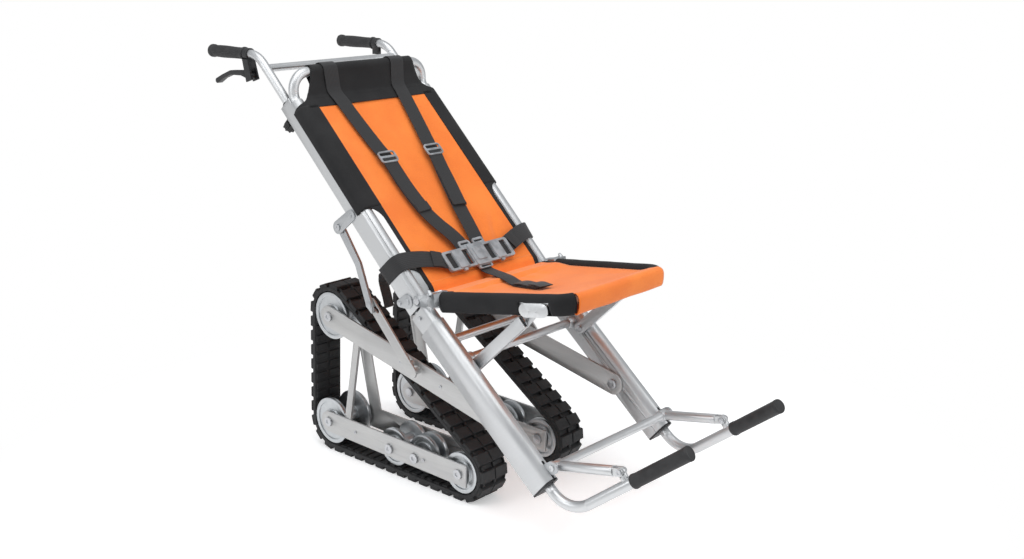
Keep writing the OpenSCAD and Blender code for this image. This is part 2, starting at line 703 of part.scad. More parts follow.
// Foot tubes: out of the lower stiles, round a bend and up to the foot grips, toed in
foot_exit = on_lower(foot_inside, foot_n);
foot_corner = at_x(frame_half, on_lower(lower_end + foot_drop, foot_n));
foot_down = [0, -cos(lower_angle), -sin(lower_angle)];
foot_side = [-sin(foot_toe_in), -sin(lower_angle) * cos(foot_toe_in), cos(lower_angle) * cos(foot_toe_in)];
foot_ahead = foot_down * cos(foot_turn) + foot_side * sin(foot_turn);
foot_up = unit([0, -foot_ahead[2], foot_ahead[1]] * sign(foot_ahead[1]));
clevis = foot_corner + foot_ahead * clevis_along + foot_up * clevis_up;
ear_place = on_lower(ear_t, ear_n);
foot_cut = foot_bend_r * tan(foot_turn / 2);
foot_straight = norm(foot_corner - at_x(frame_half, foot_exit)) - foot_cut;
foot_roll = 90 + foot_toe_in;
module foot_tubes() color("silver") both_sides() {
    translate(at_x(frame_half, foot_exit)) rotate([90 + lower_angle, 0, 0]) rotate(foot_roll)
        tube_run([[foot_straight, foot_bend_r, foot_turn, 0],
            [grip_start + foot_grip_length - foot_grip_r - foot_cut]], foot_r, tube_wall);
    difference() {
        union() {
            rod(clevis - foot_up * (clevis_up - foot_r + overrun), clevis, clevis_r);
            x_bar(clevis[0] - clevis_thick / 2, clevis_thick, [clevis[1], clevis[2]], clevis_r + overrun);
        }
        x_bar(clevis[0] - 2 * clevis_r, 2 * clevis_r - clevis_thick / 2, [clevis[1], clevis[2]], brace_r);
        x_bar(clevis[0] + clevis_thick / 2, 2 * clevis_r, [clevis[1], clevis[2]], brace_r);
        x_bar(clevis[0] - 2 * clevis_r, 4 * clevis_r, [clevis[1], clevis[2]], clevis_pin_r + fit);
    }
}
module foot_grips() color("dimgray") both_sides() {
    start = foot_corner + foot_ahead * grip_start;
    difference() {
        union() {
            rod(start, start + foot_ahead * foot_grip_length, foot_grip_r - overrun / 2);
            rod(start, start + foot_ahead * foot_grip_r / 2, foot_grip_r);
            rod(start + foot_ahead * (foot_grip_length - foot_grip_r / 2),
                start + foot_ahead * foot_grip_length, foot_grip_r);
        }
        rod(start - foot_ahead * overrun, start + foot_ahead * (foot_grip_length - foot_grip_r + fit),
            foot_r + fit);
    }
}
// Ears: plates on the foot tubes, through the slots of the noses, that carry the footrest bar
module foot_ears() color("lightgray") both_sides() difference() {
    side_plate(frame_half - ear_thick / 2, ear_thick) difference() {
        slab(on_lower(ear_t - ear_r, foot_n + foot_r), ear_r / 2, ear_place, ear_r);
        translate(on_lower(ear_t, foot_n)) rotate(lower_angle)
            translate([-lower_depth, -foot_r - fit]) square([2 * lower_depth, 2 * (foot_r + fit)]);
    }
    x_bar(frame_half - ear_thick, 2 * ear_thick, ear_place, clevis_pin_r + fit);
}
module footrest_bar() color("silver") {
    ear_x = frame_half - ear_thick / 2;
    difference() {
        union() {
            x_bar(-ear_x + fit, 2 * (ear_x - fit), ear_place, footrest_r);
            both_sides() x_bar(ear_x - sleeve_length, sleeve_length - fit, ear_place, sleeve_r);
        }
        x_bar(-ear_x + sleeve_length, 2 * (ear_x - sleeve_length), ear_place, footrest_r - tube_wall);
    }
    both_sides() {
        x_bar(ear_x - fit, ear_thick + 2 * fit, ear_place, clevis_pin_r);
        socket_head(ear_x + ear_thick + fit, ear_place, 2 * clevis_pin_r, rivet_head);
    }
}
// Brace tubes: from the footrest bar's sleeves to the clevis lugs, forked at the front
module foot_braces() color("silver") both_sides() {
    start = at_x(frame_half - ear_thick / 2 - sleeve_length / 2, ear_place);
    ahead = unit(clevis - start);
    difference() {
        union() {
            rod(start + ahead * brace_inset, clevis - ahead * 2 * clevis_r, brace_r);
            for (side = [-1, 1]) translate([side * (clevis_thick / 2 + gap + tube_wall), 0, 0])
                side_plate(clevis[0] - tube_wall, 2 * tube_wall)
                    slab([clevis[1], clevis[2]], clevis_r, [(clevis - ahead * fork_reach)[1],
                        (clevis - ahead * fork_reach)[2]], clevis_r);
        }
        x_bar(start[0] - sleeve_length, 2 * sleeve_length, ear_place, sleeve_r + fit);
        x_bar(clevis[0] - 2 * clevis_r, 4 * clevis_r, [clevis[1], clevis[2]], clevis_pin_r + fit);
        x_bar(clevis[0] - clevis_thick / 2 - gap, clevis_thick + 2 * gap, [clevis[1], clevis[2]],
            clevis_r + overrun + gap);
    }
}
module clevis_pins() color("lightgray") both_sides() {
    half = clevis_thick / 2 + gap + 2 * tube_wall + fit + tube_wall / 2;
    place = [clevis[1], clevis[2]];
    x_bar(clevis[0] - half, 2 * half, place, clevis_pin_r);
    socket_head(clevis[0] + half, place, 2 * clevis_pin_r, rivet_head);
    x_bar(clevis[0] - half - rivet_head, rivet_head, place, 2 * clevis_pin_r);
}

// Track link: curved arm from the dog-bone plate down to the slotted guide on the track
link_foot = link_head + polar(link_lean, link_length);
module track_link() difference() {
    across = polar(link_lean - 90, link_bow);
    middle = (link_head + link_foot) / 2 + across;
    union() {
        side_plate(link_x, link_thick) {
            slab(link_head, link_half + overrun, middle, link_half);
            slab(middle, link_half, link_foot, link_half);
            slab(link_foot, link_half, link_foot + polar(link_lean, 2 * link_half), link_half / 4);
        }
        x_bar(guide_x - axle_head, link_x - guide_x + axle_head + link_thick + rivet_head, link_foot, link_pin_r);
        x_bar(guide_x - gap - axle_head, axle_head, link_foot, 2 * link_pin_r);
        x_bar(link_x + link_thick, rivet_head, link_foot, 2 * link_pin_r);
    }
    x_bar(link_x - overrun, link_thick + 2 * overrun, link_head, link_pin_r + fit);
}
module right_track_link() color("lightgray") right_side() track_link();
module left_track_link() color("lightgray") track_link();

// Outer plates of a track: upper plate to the stile, lower plate over the rollers, strut and slotted guide
track_pivot = on_lower(pivot_t, pivot_n);
plate_run = unit(track_pivot - top_axle);
guide_foot = top_axle + plate_run * guide_at + [plate_run[1], -plate_run[0]] * guide_up;
axles = [top_axle, rear_axle, front_axle, [idler_places[0], idler_axle_z], [idler_places[1], idler_axle_z]];
function along(a, b, d) = a + unit(b - a) * d;
module axle_holes(x, list) for (p = list)
    x_bar(x - overrun, plate_thick + 2 * overrun, p, axle_r + fit);
module outer_plates() difference() {
    half = plate_height / 2;
    union() {
        side_plate(outer_plate_x, plate_thick) slab(top_axle, half, track_pivot, half);
        side_plate(outer_plate_x, plate_thick) tongue(rear_axle, front_axle, half);
        side_plate(outer_plate_x - strut_thick, strut_thick)
            slab(strut_top, strut_width / 2, strut_foot, strut_width / 2);
        side_plate(guide_x, guide_thick) slab(link_foot, guide_r, guide_foot, guide_r);
        for (p = [guide_foot, guide_foot + polar(slot_lean - 180, 3 * standoff_r)])
            x_bar(outer_plate_x + plate_thick, guide_x - outer_plate_x - plate_thick, p, standoff_r);
    }
    x_bar(outer_plate_x - overrun, plate_thick + 2 * overrun, track_pivot, pivot_r + fit);
    axle_holes(outer_plate_x, axles);
    side_plate(guide_x - overrun, guide_thick + 2 * overrun)
        slab(link_foot, slot_half, link_foot + polar(slot_lean, slot_run), slot_half + fit);
}
module right_outer_plates() color("gainsboro") right_side() outer_plates();
module left_outer_plates() color("gainsboro") outer_plates();

// Inner plate of a track: lower plate and strut to the top axle
module inner_plate() difference() {
    half = plate_height / 2;
    union() {
        side_plate(inner_plate_x, plate_thick) tongue(rear_axle, front_axle, half);
        side_plate(inner_plate_x, plate_thick) slab(top_axle, strut_width, strut_foot, strut_width);
    }
    axle_holes(inner_plate_x, axles);
}
module right_inner_plate() color("gainsboro") right_side() inner_plate();
module left_inner_plate() color("gainsboro") inner_plate();

// Axles, spacer washers and screws of a track
module track_axles() {
    start = inner_plate_x - gap;
    span = outer_plate_x + plate_thick + gap - start;
    for (p = axles) {
        x_bar(start, span, p, axle_r);
        x_bar(start - axle_head, axle_head, p, axle_head_r);
        socket_head(start + span, p, axle_head_r, axle_head);
    }
    for (d = upper_screws)
        socket_head(outer_plate_x + plate_thick, along(top_axle, track_pivot, d), screw_r, screw_head);
    for (d = lower_screws)
        socket_head(outer_plate_x + plate_thick, along(rear_axle, front_axle, d), screw_r, screw_head);
}
module right_track_axles() color("lightgray") right_side() track_axles();
module left_track_axles() color("lightgray") track_axles();

// Rollers: two dished discs on a hub tube; inset moves the discs in from the belt's edges
module disc_profile(r, inset, side) {
    translate([0, side * (belt_width / 2 - inset - disc_thick / 2)]) {
        translate([axle_r + fit, -disc_thick / 2]) square([hub_r - axle_r + disc_thick, disc_thick]);
        translate([hub_r, side * -disc_dish / 2 - (disc_thick - disc_dish) / 2])
            square([r - hub_r, disc_thick - disc_dish]);
        translate([r - disc_thick, -disc_thick / 2]) square([disc_thick, disc_thick]);
    }
}
module roller(p, r, inset) translate(at_x(belt_outer_x - belt_width / 2, p)) rotate([0, 90, 0])
    rotate_extrude() {
        disc_profile(r, inset, 1);
        disc_profile(r, inset, -1);
        translate([axle_r + fit, -belt_width / 2 + inset]) square([hub_r - axle_r, belt_width - 2 * inset]);
    }
roller_inset = 1;
module right_top_roller() color("lightgray") right_side() roller(axles[0], rear_roller_r, roller_inset);
module right_rear_roller() color("lightgray") right_side() roller(axles[1], rear_roller_r, roller_inset);
module right_front_roller() color("lightgray") right_side() roller(axles[2], front_roller_r, roller_inset);
module right_idler_a() color("lightgray") right_side() roller(axles[3], idler_r, idler_discs[0]);
module right_idler_b() color("lightgray") right_side() roller(axles[4], idler_r, idler_discs[1] - disc_thick);
module left_top_roller() color("lightgray") roller(axles[0], rear_roller_r, roller_inset);
module left_rear_roller() color("lightgray") roller(axles[1], rear_roller_r, roller_inset);
module left_front_roller() color("lightgray") roller(axles[2], front_roller_r, roller_inset);
module left_idler_a() color("lightgray") roller(axles[3], idler_r, idler_discs[0]);
module left_idler_b() color("lightgray") roller(axles[4], idler_r, idler_discs[1] - disc_thick);

// Belt: a closed band round the three end rollers, with rows of lugs outside
belt_corners = [rear_axle, top_axle, front_axle];
belt_radii = [rear_roller_r, rear_roller_r, front_roller_r];
// Outward normal of the straight run from corner i to the next one
function run_normal(i) = let (a = belt_corners[i], b = belt_corners[(i + 1) % 3],
    lean = atan2(b[1] - a[1], b[0] - a[0]),
    tilt = asin((belt_radii[i] - belt_radii[(i + 1) % 3]) / norm(b - a)))
    lean - 90 + tilt;
function run_length(i) = let (a = belt_corners[i], b = belt_corners[(i + 1) % 3],
    step = belt_radii[i] - belt_radii[(i + 1) % 3]) sqrt(pow(norm(b - a), 2) - step * step);
function turn_at(i) = (run_normal(i) - run_normal((i + 2) % 3) + 720) % 360;
function turn_length(i) = (belt_radii[i] + belt_carcass) * turn_at(i) * PI / 180;
belt_length = turn_length(0) + run_length(0) + turn_length(1) + run_length(1) + turn_length(2) + run_length(2);
// Place and outward angle at distance d along the belt's outer face
function belt_at(d, i = 0) =
    d <= turn_length(i)
        ? let (angle = run_normal((i + 2) % 3) + d / turn_length(i) * turn_at(i))
            [belt_corners[i] + polar(angle, belt_radii[i] + belt_carcass), angle]
    : d <= turn_length(i) + run_length(i)
        ? let (angle = run_normal(i))
            [belt_corners[i] + polar(angle, belt_radii[i] + belt_carcass)
                + polar(angle + 90, d - turn_length(i)), angle]
    : belt_at(d - turn_length(i) - run_length(i), i + 1);
module belt_loop(extra) polygon([for (i = [0 : 2])
    for (p = arc(belt_corners[i], belt_radii[i] + extra, run_normal(i) - turn_at(i), run_normal(i))) p]);
lug_root = 30;
lug_tip = 25;
module belt() difference() {
    side_plate(belt_inner_x, belt_width) {
        belt_loop(belt_carcass);
        for (k = [0 : lug_count - 1]) let (place = belt_at((k + 0.5) * belt_length / lug_count))
            translate(place[0]) rotate(place[1]) polygon([
                [-belt_carcass / 2, -lug_root / 2], [lug_height, -lug_tip / 2],
                [lug_height, lug_tip / 2], [-belt_carcass / 2, lug_root / 2]]);
    }
    side_plate(belt_inner_x - overrun, belt_width + 2 * overrun) belt_loop(gap);
}
module right_belt() color("dimgray") right_side() belt();
module left_belt() color("dimgray") belt();

// Back sling: a panel over the noses with side sleeves, a head panel and a top sleeve
sling_n = upper_depth / 2 + sleeve_gap;
sling_half = upper_outer_x + sleeve_gap + fabric;
loop_front = loop_knee[0];
module back_sling() color("darkorange") difference() {
    union() {
        upper_frame() {
            translate([0, -sling_n, 0]) rotate([90, 0, 0]) linear_extrude(fabric) polygon([
                [-back_half_low, back_low], [back_half_low, back_low],
                [back_half_low, back_sleeve_low - back_flap], [sling_half, back_sleeve_low],
                [sling_half, back_high], [-sling_half, back_high],
                [-sling_half, back_sleeve_low], [-back_half_low, back_sleeve_low - back_flap]]);
            both_sides() translate([0, 0, back_sleeve_low]) linear_extrude(back_high - back_sleeve_low) {
                translate([upper_outer_x + sleeve_gap, -sling_n - fabric]) square([fabric, back_flap + fabric]);
                translate([upper_inner_x - sleeve_gap - fabric, -sling_n - fabric])
                    square([fabric, back_flap + fabric]);
            }
        }
        head_panel();
        x_bar(-top_sleeve_half, 2 * top_sleeve_half, [loop_front, loop_top_height],
            loop_r + sleeve_gap + fabric);
    }
    x_bar(-top_sleeve_half - overrun, 2 * (top_sleeve_half + overrun), [loop_front, loop_top_height],
        loop_r + sleeve_gap);
}
head_foot = on_upper(back_high, sling_n);
head_back = on_upper(back_high, sling_n + fabric);
head_high = [loop_front - loop_r - sleeve_gap - fabric, loop_top_height];
// Head panel: bridges the bend between the backrest plane and the top sleeve
module head_panel() intersection() {
    side_plate(-sling_half, 2 * sling_half) polygon([
        head_foot, head_back, head_high, head_high + [fabric, 0]]);
    translate([0, 0, head_foot[1] - head_front]) rotate([90, 0, 0]) translate([0, 0, -2 * head_high[0]])
        linear_extrude(2 * head_high[0]) polygon([
            [-sling_half, 0], [sling_half, 0], [sling_half, head_front],
            [top_sleeve_half + back_flap / 2, 2 * head_front],
            [top_sleeve_half, loop_top_height - head_foot[1] + head_front],
            [-top_sleeve_half, loop_top_height - head_foot[1] + head_front],
            [-top_sleeve_half - back_flap / 2, 2 * head_front], [-sling_half, head_front]]);
}

// Seat sling: a panel over the seat tube with side sleeves and a front sleeve
seat_skin = seat_r + sleeve_gap + fabric;
seat_panel_z = seat_tube_z + seat_skin - fabric - gap;
module seat_sling() color("darkorange") seat_frame() difference() {
    union() {
        both_sides() half_seat_run(seat_skin, 0, socket_length);
        translate([0, 0, seat_panel_z]) linear_extrude(fabric) polygon([
            [-back_half_low, -seat_rear], [back_half_low, -seat_rear],
            [back_half_low, -seat_start - socket_length],
            [seat_x(seat_start + socket_length), -seat_start - socket_length - overrun],
            [seat_half_front, seat_corner_r - seat_length], [seat_half_front - seat_corner_r / 3,
                seat_corner_r / 3 - seat_length], [seat_half_front - seat_corner_r, -seat_length],
            [seat_corner_r - seat_half_front, -seat_length], [seat_corner_r / 3 - seat_half_front,
                seat_corner_r / 3 - seat_length], [-seat_half_front, seat_corner_r - seat_length],
            [-seat_x(seat_start + socket_length), -seat_start - socket_length - overrun],
            [-back_half_low, -seat_start - socket_length]]);
    }
    both_sides() half_seat_run(seat_r + sleeve_gap, 0, 0);
    both_sides() translate([seat_x(badge_y), -badge_y - badge_pitch / 2 - badge_r - badge_room,
        seat_tube_z - badge_drop - badge_r])
        cube([2 * seat_skin, badge_pitch + 2 * (badge_r + badge_room), 2 * badge_r + badge_room]);
}

// Shoulder straps: from behind the top sleeve, over it and down the panel to the buckle
strap_n = sling_n + fabric + gap + web_thick / 2;
top_wrap = loop_r + sleeve_gap + fabric + gap + web_thick / 2;
function wrap_at(x, angle) = [x, loop_front + top_wrap * cos(angle), loop_top_height + top_wrap * sin(angle)];
// Free length behind the sleeve, and the strap's way down the panel as [x, place s, lift off the panel]
strap_tail = 80;
strap_turns = [15 : 15 : 165];
strap_head = [112, 5.5, 16];
strap_path = [[106, 592, 4], [84, 430, 1], [56, 300, 1], [36, 200, 6], [26, 140, 8], [20, 98, 6]];
shoulder_points = concat(
    [[strap_top_x, loop_front + top_wrap, loop_top_height - strap_tail], wrap_at(strap_top_x, 0)],
    [for (angle = strap_turns) wrap_at(strap_top_x, angle)],
    [[strap_head[0], head_high[0] - strap_head[1], loop_top_height - strap_head[2]]],
    [for (p = strap_path) at_x(p[0], on_upper(p[1], strap_n + p[2]))]);
module shoulder_straps() color("dimgray") both_sides()
    ribbon(shoulder_points, [for (p = shoulder_points) [1, 0, 0]], web_width, web_thick);
// Ladder adjusters on the shoulder straps
adjuster_s = 395;
adjuster_x = 76;
adjuster_length = 34;
adjuster_rim = 5;
adjuster_thick = 3.5;
adjuster_slot = 6.8;
adjuster_lift = 0.1;
module strap_adjusters() color("darkgray") both_sides() upper_frame()
    translate([adjuster_x, -strap_n - adjuster_lift - web_thick, adjuster_s]) rotate([90, 0, 0]) difference() {
        linear_extrude(adjuster_thick) square([web_width + 2 * adjuster_rim, adjuster_length], center = true);
        for (y = [-1, 1]) translate([0, y * adjuster_slot, -overrun])
            linear_extrude(adjuster_thick + 2 * overrun) square([web_width, adjuster_slot], center = true);
    }

// Waist belt: round the outside of each backrest profile and across to the buckle
belt_s = 128;
belt_clear = web_thick / 2 + gap;
// Slack of the belt round the profile, and how far its middle falls from its rear end to the buckle
belt_slack = [2, 1, 9, 3];
belt_fall = [8, 7, 4, 3, 9, 28];
belt_bend_x = 146;
belt_end_x = 26;
waist_points = [
    [upper_inner_x - belt_clear, upper_depth / 2 - 2 * belt_slack[0], belt_s + belt_fall[0]],
    [upper_inner_x - belt_clear, upper_depth / 2 + belt_clear, belt_s + belt_fall[1]],
    [upper_outer_x + belt_clear, upper_depth / 2 + belt_clear, belt_s + belt_fall[2]],
    [upper_outer_x + belt_clear + belt_slack[1], -upper_depth / 4, belt_s],
    [upper_outer_x - 2 * belt_slack[0], -upper_depth / 2 - belt_clear - belt_slack[1], belt_s - belt_fall[3]],
    [upper_inner_x, -upper_depth / 2 - belt_clear - belt_slack[2], belt_s - belt_fall[4]],
    [belt_bend_x, -buckle_n - buckle_thick / 2 - belt_slack[3], belt_s - belt_fall[5]],
    [buckle_frame_x + belt_end_x, -buckle_n - buckle_thick / 2, buckle_s + belt_fall[3]]];
module waist_belt() color("dimgray") both_sides() upper_frame()
    ribbon(waist_points, [for (p = waist_points) [0, 0, 1]], web_width, web_thick);

// Buckle: centre housing with two shoulder lugs, and a three-bar frame on each side
frame_inset = 2.5;
frame_height = 46;
frame_slots = [6, 24];
frame_slot = [10, 32];
shoulder_lug = [28, 4, 9];
shoulder_lug_start = [6, 4];
module buckle_frame() translate([0, 0, -buckle_height / 2]) difference() {
    cube([buckle_frame_width, buckle_thick - 2 * frame_inset, frame_height]);
    for (x = frame_slots) translate([x, -overrun, (frame_height - frame_slot[1]) / 2])
        cube([frame_slot[0], buckle_thick + overrun, frame_slot[1]]);
}
module harness_buckle() color("darkgray") upper_frame()
    translate([0, -buckle_n - buckle_thick, buckle_s]) {
        translate([-buckle_half, 0, -buckle_height / 2]) cube([2 * buckle_half, buckle_thick, buckle_height]);
        both_sides() {
            translate([buckle_half, frame_inset, 0]) buckle_frame();
            translate([shoulder_lug_start[0], shoulder_lug_start[1], buckle_height / 2 - overrun])
                cube(shoulder_lug);
        }
    }

// Crotch strap: lies on the seat panel from the buckle to its free end
crotch_z = seat_tube_z + seat_skin + gap + web_thick / 2;
// Its way from the buckle forwards as [distance from the hinge, lift off the panel]
crotch_path = [[46, 8], [78, 5], [120, 1], [165, 3], [212, 0]];
crotch_width = 38;
crotch_points = [for (p = crotch_path) [0, -p[0], crotch_z + p[1]]];
module crotch_strap() color("dimgray") seat_frame()
    ribbon(crotch_points, [for (p = crotch_points) [1, 0, 0]], crotch_width, web_thick);

right_lower_stile();
left_lower_stile();
right_back_profile();
left_back_profile();
stile_inserts();
stile_end_caps();
slide_bushes();
knuckle_plates();
frame_cross_tubes();
cross_tube_sockets();
backrest_loop();
frame_rivets();
track_pivot_bolts();
link_brackets();
link_pivot_pins();
push_handle();
push_grips();
handle_collar();
brake_perch();
brake_lever();
right_clamp_knob();
left_clamp_knob();
seat_tube();
seat_brackets();
seat_side_plates();
seat_props();
prop_bolts();
foot_tubes();
foot_grips();
foot_ears();
footrest_bar();
foot_braces();
clevis_pins();
right_track_link();
left_track_link();
right_outer_plates();
left_outer_plates();
right_inner_plate();
left_inner_plate();
right_track_axles();
left_track_axles();
right_belt();
left_belt();
right_top_roller();
right_rear_roller();
right_front_roller();
right_idler_a();
right_idler_b();
left_top_roller();
left_rear_roller();
left_front_roller();
left_idler_a();
left_idler_b();
back_sling();
seat_sling();
shoulder_straps();
strap_adjusters();
waist_belt();
crotch_strap();
harness_buckle();
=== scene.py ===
from math import asin, atan, atan2, copysign, cos, exp, hypot, pi, radians, sin, sqrt, tan

import bmesh
import bpy
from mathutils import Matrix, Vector


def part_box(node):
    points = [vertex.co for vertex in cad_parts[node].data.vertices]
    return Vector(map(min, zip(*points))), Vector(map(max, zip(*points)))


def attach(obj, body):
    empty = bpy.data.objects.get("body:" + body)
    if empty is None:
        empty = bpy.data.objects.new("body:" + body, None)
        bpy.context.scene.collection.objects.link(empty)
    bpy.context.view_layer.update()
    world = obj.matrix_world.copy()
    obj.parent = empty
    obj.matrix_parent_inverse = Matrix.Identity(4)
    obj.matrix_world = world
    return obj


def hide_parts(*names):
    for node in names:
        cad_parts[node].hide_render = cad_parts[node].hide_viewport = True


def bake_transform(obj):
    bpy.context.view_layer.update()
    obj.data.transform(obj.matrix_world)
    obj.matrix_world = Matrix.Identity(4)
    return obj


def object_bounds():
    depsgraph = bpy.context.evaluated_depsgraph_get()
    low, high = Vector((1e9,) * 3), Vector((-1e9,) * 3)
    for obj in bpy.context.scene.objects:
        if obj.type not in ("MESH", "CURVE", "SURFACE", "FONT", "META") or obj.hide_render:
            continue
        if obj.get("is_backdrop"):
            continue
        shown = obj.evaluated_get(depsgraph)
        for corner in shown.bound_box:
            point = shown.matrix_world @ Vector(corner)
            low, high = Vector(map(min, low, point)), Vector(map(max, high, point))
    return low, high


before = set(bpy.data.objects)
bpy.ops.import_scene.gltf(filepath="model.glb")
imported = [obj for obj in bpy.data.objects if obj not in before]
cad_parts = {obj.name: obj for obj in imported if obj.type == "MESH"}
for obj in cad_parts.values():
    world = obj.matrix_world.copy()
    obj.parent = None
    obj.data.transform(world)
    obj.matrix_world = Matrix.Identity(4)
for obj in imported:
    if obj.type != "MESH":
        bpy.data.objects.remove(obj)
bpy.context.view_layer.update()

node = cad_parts

# --------------------------------------------------
# Studio: the chair stands on a white paper sweep under one wide soft lamp
# from above, with a softer one at each side. The camera looks down on it
# from the foot end's right.
# --------------------------------------------------
mm = 0.001
view = bpy.context.scene
view.view_settings.view_transform = "Standard"

camera = bpy.data.objects.new("camera", bpy.data.cameras.new("camera"))
camera.data.sensor_width = 36
camera.data.lens = 44.0
camera.location = Vector((-2124.4, -1987, 1279.3)) * mm
camera.rotation_euler = (radians(74.706), 0, radians(-48.371))
view.collection.objects.link(camera)
view.camera = camera


class Value:
    """A number that changes over a surface; sums and products of it are worked out where the light falls."""

    def __init__(self, finish, socket):
        self.finish, self.socket = finish, socket

    def maths(self, operation, first, second=0.0):
        return self.finish.made("Math", {"operation": operation}, {0: first, 1: second})

    def __add__(self, other):
        return self.maths("ADD", self, other)

    def __sub__(self, other):
        return self.maths("SUBTRACT", self, other)

    def __rsub__(self, other):
        return self.maths("SUBTRACT", other, self)

    def __mul__(self, other):
        return self.maths("MULTIPLY", self, other)

    def __pow__(self, other):
        return self.maths("POWER", self, other)

    def __gt__(self, other):
        return self.maths("GREATER_THAN", self, other)

    __radd__ = __add__
    __rmul__ = __mul__


class Finish:
    """A surface finish: one shader, and the values that change over the surface."""

    def __init__(self, name, **constants):
        self.material = bpy.data.materials.new(name)
        self.material.use_nodes = True
        self.tree = self.material.node_tree
        self.shader = self.tree.nodes["Principled BSDF"]
        for socket, value in constants.items():
            self.shader.inputs[socket.replace("_", " ")].default_value = value

    def made(self, kind, settings, values, out=0):
        """Any node: its type, its settings, then the values or links of its sockets."""
        new = self.tree.nodes.new("ShaderNode" + kind)
        for name, value in settings.items():
            setattr(new, name, value)
        for socket, value in values.items():
            if isinstance(value, Value):
                self.tree.links.new(value.socket, new.inputs[socket])
            else:
                new.inputs[socket].default_value = value
        return Value(self, new.outputs[out])

    def place(self, turn=(0, 0, 0), stretch=(1, 1, 1)):
        """The point on the object, turned and stretched."""
        here = self.made("TexCoord", {}, {}, "Object")
        here = self.made("Mapping", {"vector_type": "TEXTURE"}, {"Vector": here, "Rotation": turn})
        return self.made("VectorMath", {"operation": "MULTIPLY"}, {0: here, 1: stretch})

    def grain(self, where, scale, detail, rough=0.5):
        """Cloudy noise at a scale per metre."""
        return self.made("TexNoise", {}, {
            "Vector": where, "Scale": scale, "Detail": detail, "Roughness": rough}, "Fac")

    def axis(self, where, which):
        return self.made("SeparateXYZ", {}, {"Vector": where}, which)

    def step(self, value, low, high, out_low=0.0, out_high=1.0):
        """A value stretched from one range to another, and kept inside it."""
        return self.made("MapRange", {"interpolation_type": "SMOOTHSTEP"}, {
            "Value": value, "From Min": low, "From Max": high, "To Min": out_low, "To Max": out_high})

    def mix(self, share, first, second):
        """One colour over another, by a share that changes."""
        return self.made("Mix", {"data_type": "RGBA"}, {0: share, 6: (*first, 1), 7: (*second, 1)}, 2)

    def coat(self, colour, rough, height, depth, strength):
        """Puts what changes on the shader: colour, roughness and the height of the surface, its depth in mm."""
        bump = self.made("Bump", {}, {"Height": height, "Distance": depth * mm, "Strength": strength})
        for socket, value in (("Base Color", colour), ("Roughness", rough), ("Normal", bump)):
            self.tree.links.new(value.socket, self.shader.inputs[socket])
        return self

    def on(self, *pieces):
        for piece in pieces:
            piece.data.materials.clear()
            piece.data.materials.append(self.material)
        return self


def seen_by_camera(finish):
    """One for the rays that carry the picture: straight, mirrored and let through; zero for the light itself."""
    rays = finish.made("LightPath", {}, {}, "Is Camera Ray")
    path = rays.socket.node
    mirrored, through = (Value(finish, path.outputs["Is %s Ray" % kind]) for kind in ("Glossy", "Transmission"))
    return rays + mirrored + through > 0.5


paper = Finish("white_paper", Roughness=1.0, Specular_IOR_Level=0.0)
paper.shader.inputs["Base Color"].default_value = (0.93, 0.93, 0.93, 1)
paper_glow = paper.made("Emission", {}, {"Color": (1, 1, 1, 1), "Strength": 0.34})
paper_lift = paper.made("AddShader", {}, {0: Value(paper, paper.shader.outputs[0]), 1: paper_glow})
paper_seen = paper.made("MixShader", {}, {
    0: seen_by_camera(paper), 1: Value(paper, paper.shader.outputs[0]), 2: paper_lift})
# Past the chair's own shadow the sheet is plain white, as a lit backdrop is.
paper_place = paper.place()
paper_far = (paper.axis(paper_place, 0) ** 2 + paper.axis(paper_place, 1) ** 2) ** 0.5
paper_white = paper.made("Emission", {}, {"Color": (1, 1, 1, 1), "Strength": 1.0})
shadow_end, white_from = 0.72, 1.25
paper_edge = paper.step(paper_far, shadow_end, white_from) * seen_by_camera(paper)
paper_all = paper.made("MixShader", {}, {0: paper_edge, 1: paper_seen, 2: paper_white})
paper.tree.links.new(paper_all.socket, paper.tree.nodes["Material Output"].inputs["Surface"])

sweep = bpy.data.meshes.new("paper_sweep")
reach = 14.0
sweep.from_pydata([(x, y, 0) for x, y in ((-reach, -reach), (reach, -reach), (reach, reach), (-reach, reach))],
                  [], [(0, 1, 2, 3)])
floor = bpy.data.objects.new("paper_sweep", sweep)
view.collection.objects.link(floor)
paper.on(floor)
floor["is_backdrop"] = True

world = bpy.data.worlds.new("studio")
world.use_nodes = True
view.world = world
walls = world.node_tree
walls_light, walls_white = walls.nodes["Background"], walls.nodes.new("ShaderNodeBackground")
for part, colour, strength in ((walls_light, (0.86, 0.88, 0.9, 1), 0.62), (walls_white, (1, 1, 1, 1), 1.0)):
    part.inputs["Color"].default_value = colour
    part.inputs["Strength"].default_value = strength
walls_mix = walls.nodes.new("ShaderNodeMixShader")
for socket, light in enumerate((walls.nodes.new("ShaderNodeLightPath").outputs["Is Camera Ray"],
                                walls_light.outputs[0], walls_white.outputs[0])):
    walls.links.new(light, walls_mix.inputs[socket])
walls.links.new(walls_mix.outputs[0], walls.nodes["World Output"].inputs["Surface"])


def soft_lamp(name, place, aim, width, height, power):
    lamp = bpy.data.objects.new(name, bpy.data.lights.new(name, "AREA"))
    lamp.data.shape, lamp.data.size, lamp.data.size_y, lamp.data.energy = "RECTANGLE", width, height, power
    lamp.location = place
    lamp.rotation_euler = (Vector(aim) - Vector(place)).to_track_quat("-Z", "Y").to_euler()
    view.collection.objects.link(lamp)


soft_lamp("lamp_above", (-0.6, -0.3, 3.2), (0, 0, 0.4), 3.2, 3.2, 56)
soft_lamp("lamp_left", (-3.0, 0.9, 1.9), (0, 0, 0.5), 1.6, 2.0, 20)
soft_lamp("lamp_right", (1.2, -3.0, 1.8), (0, 0, 0.5), 1.6, 2.0, 20)

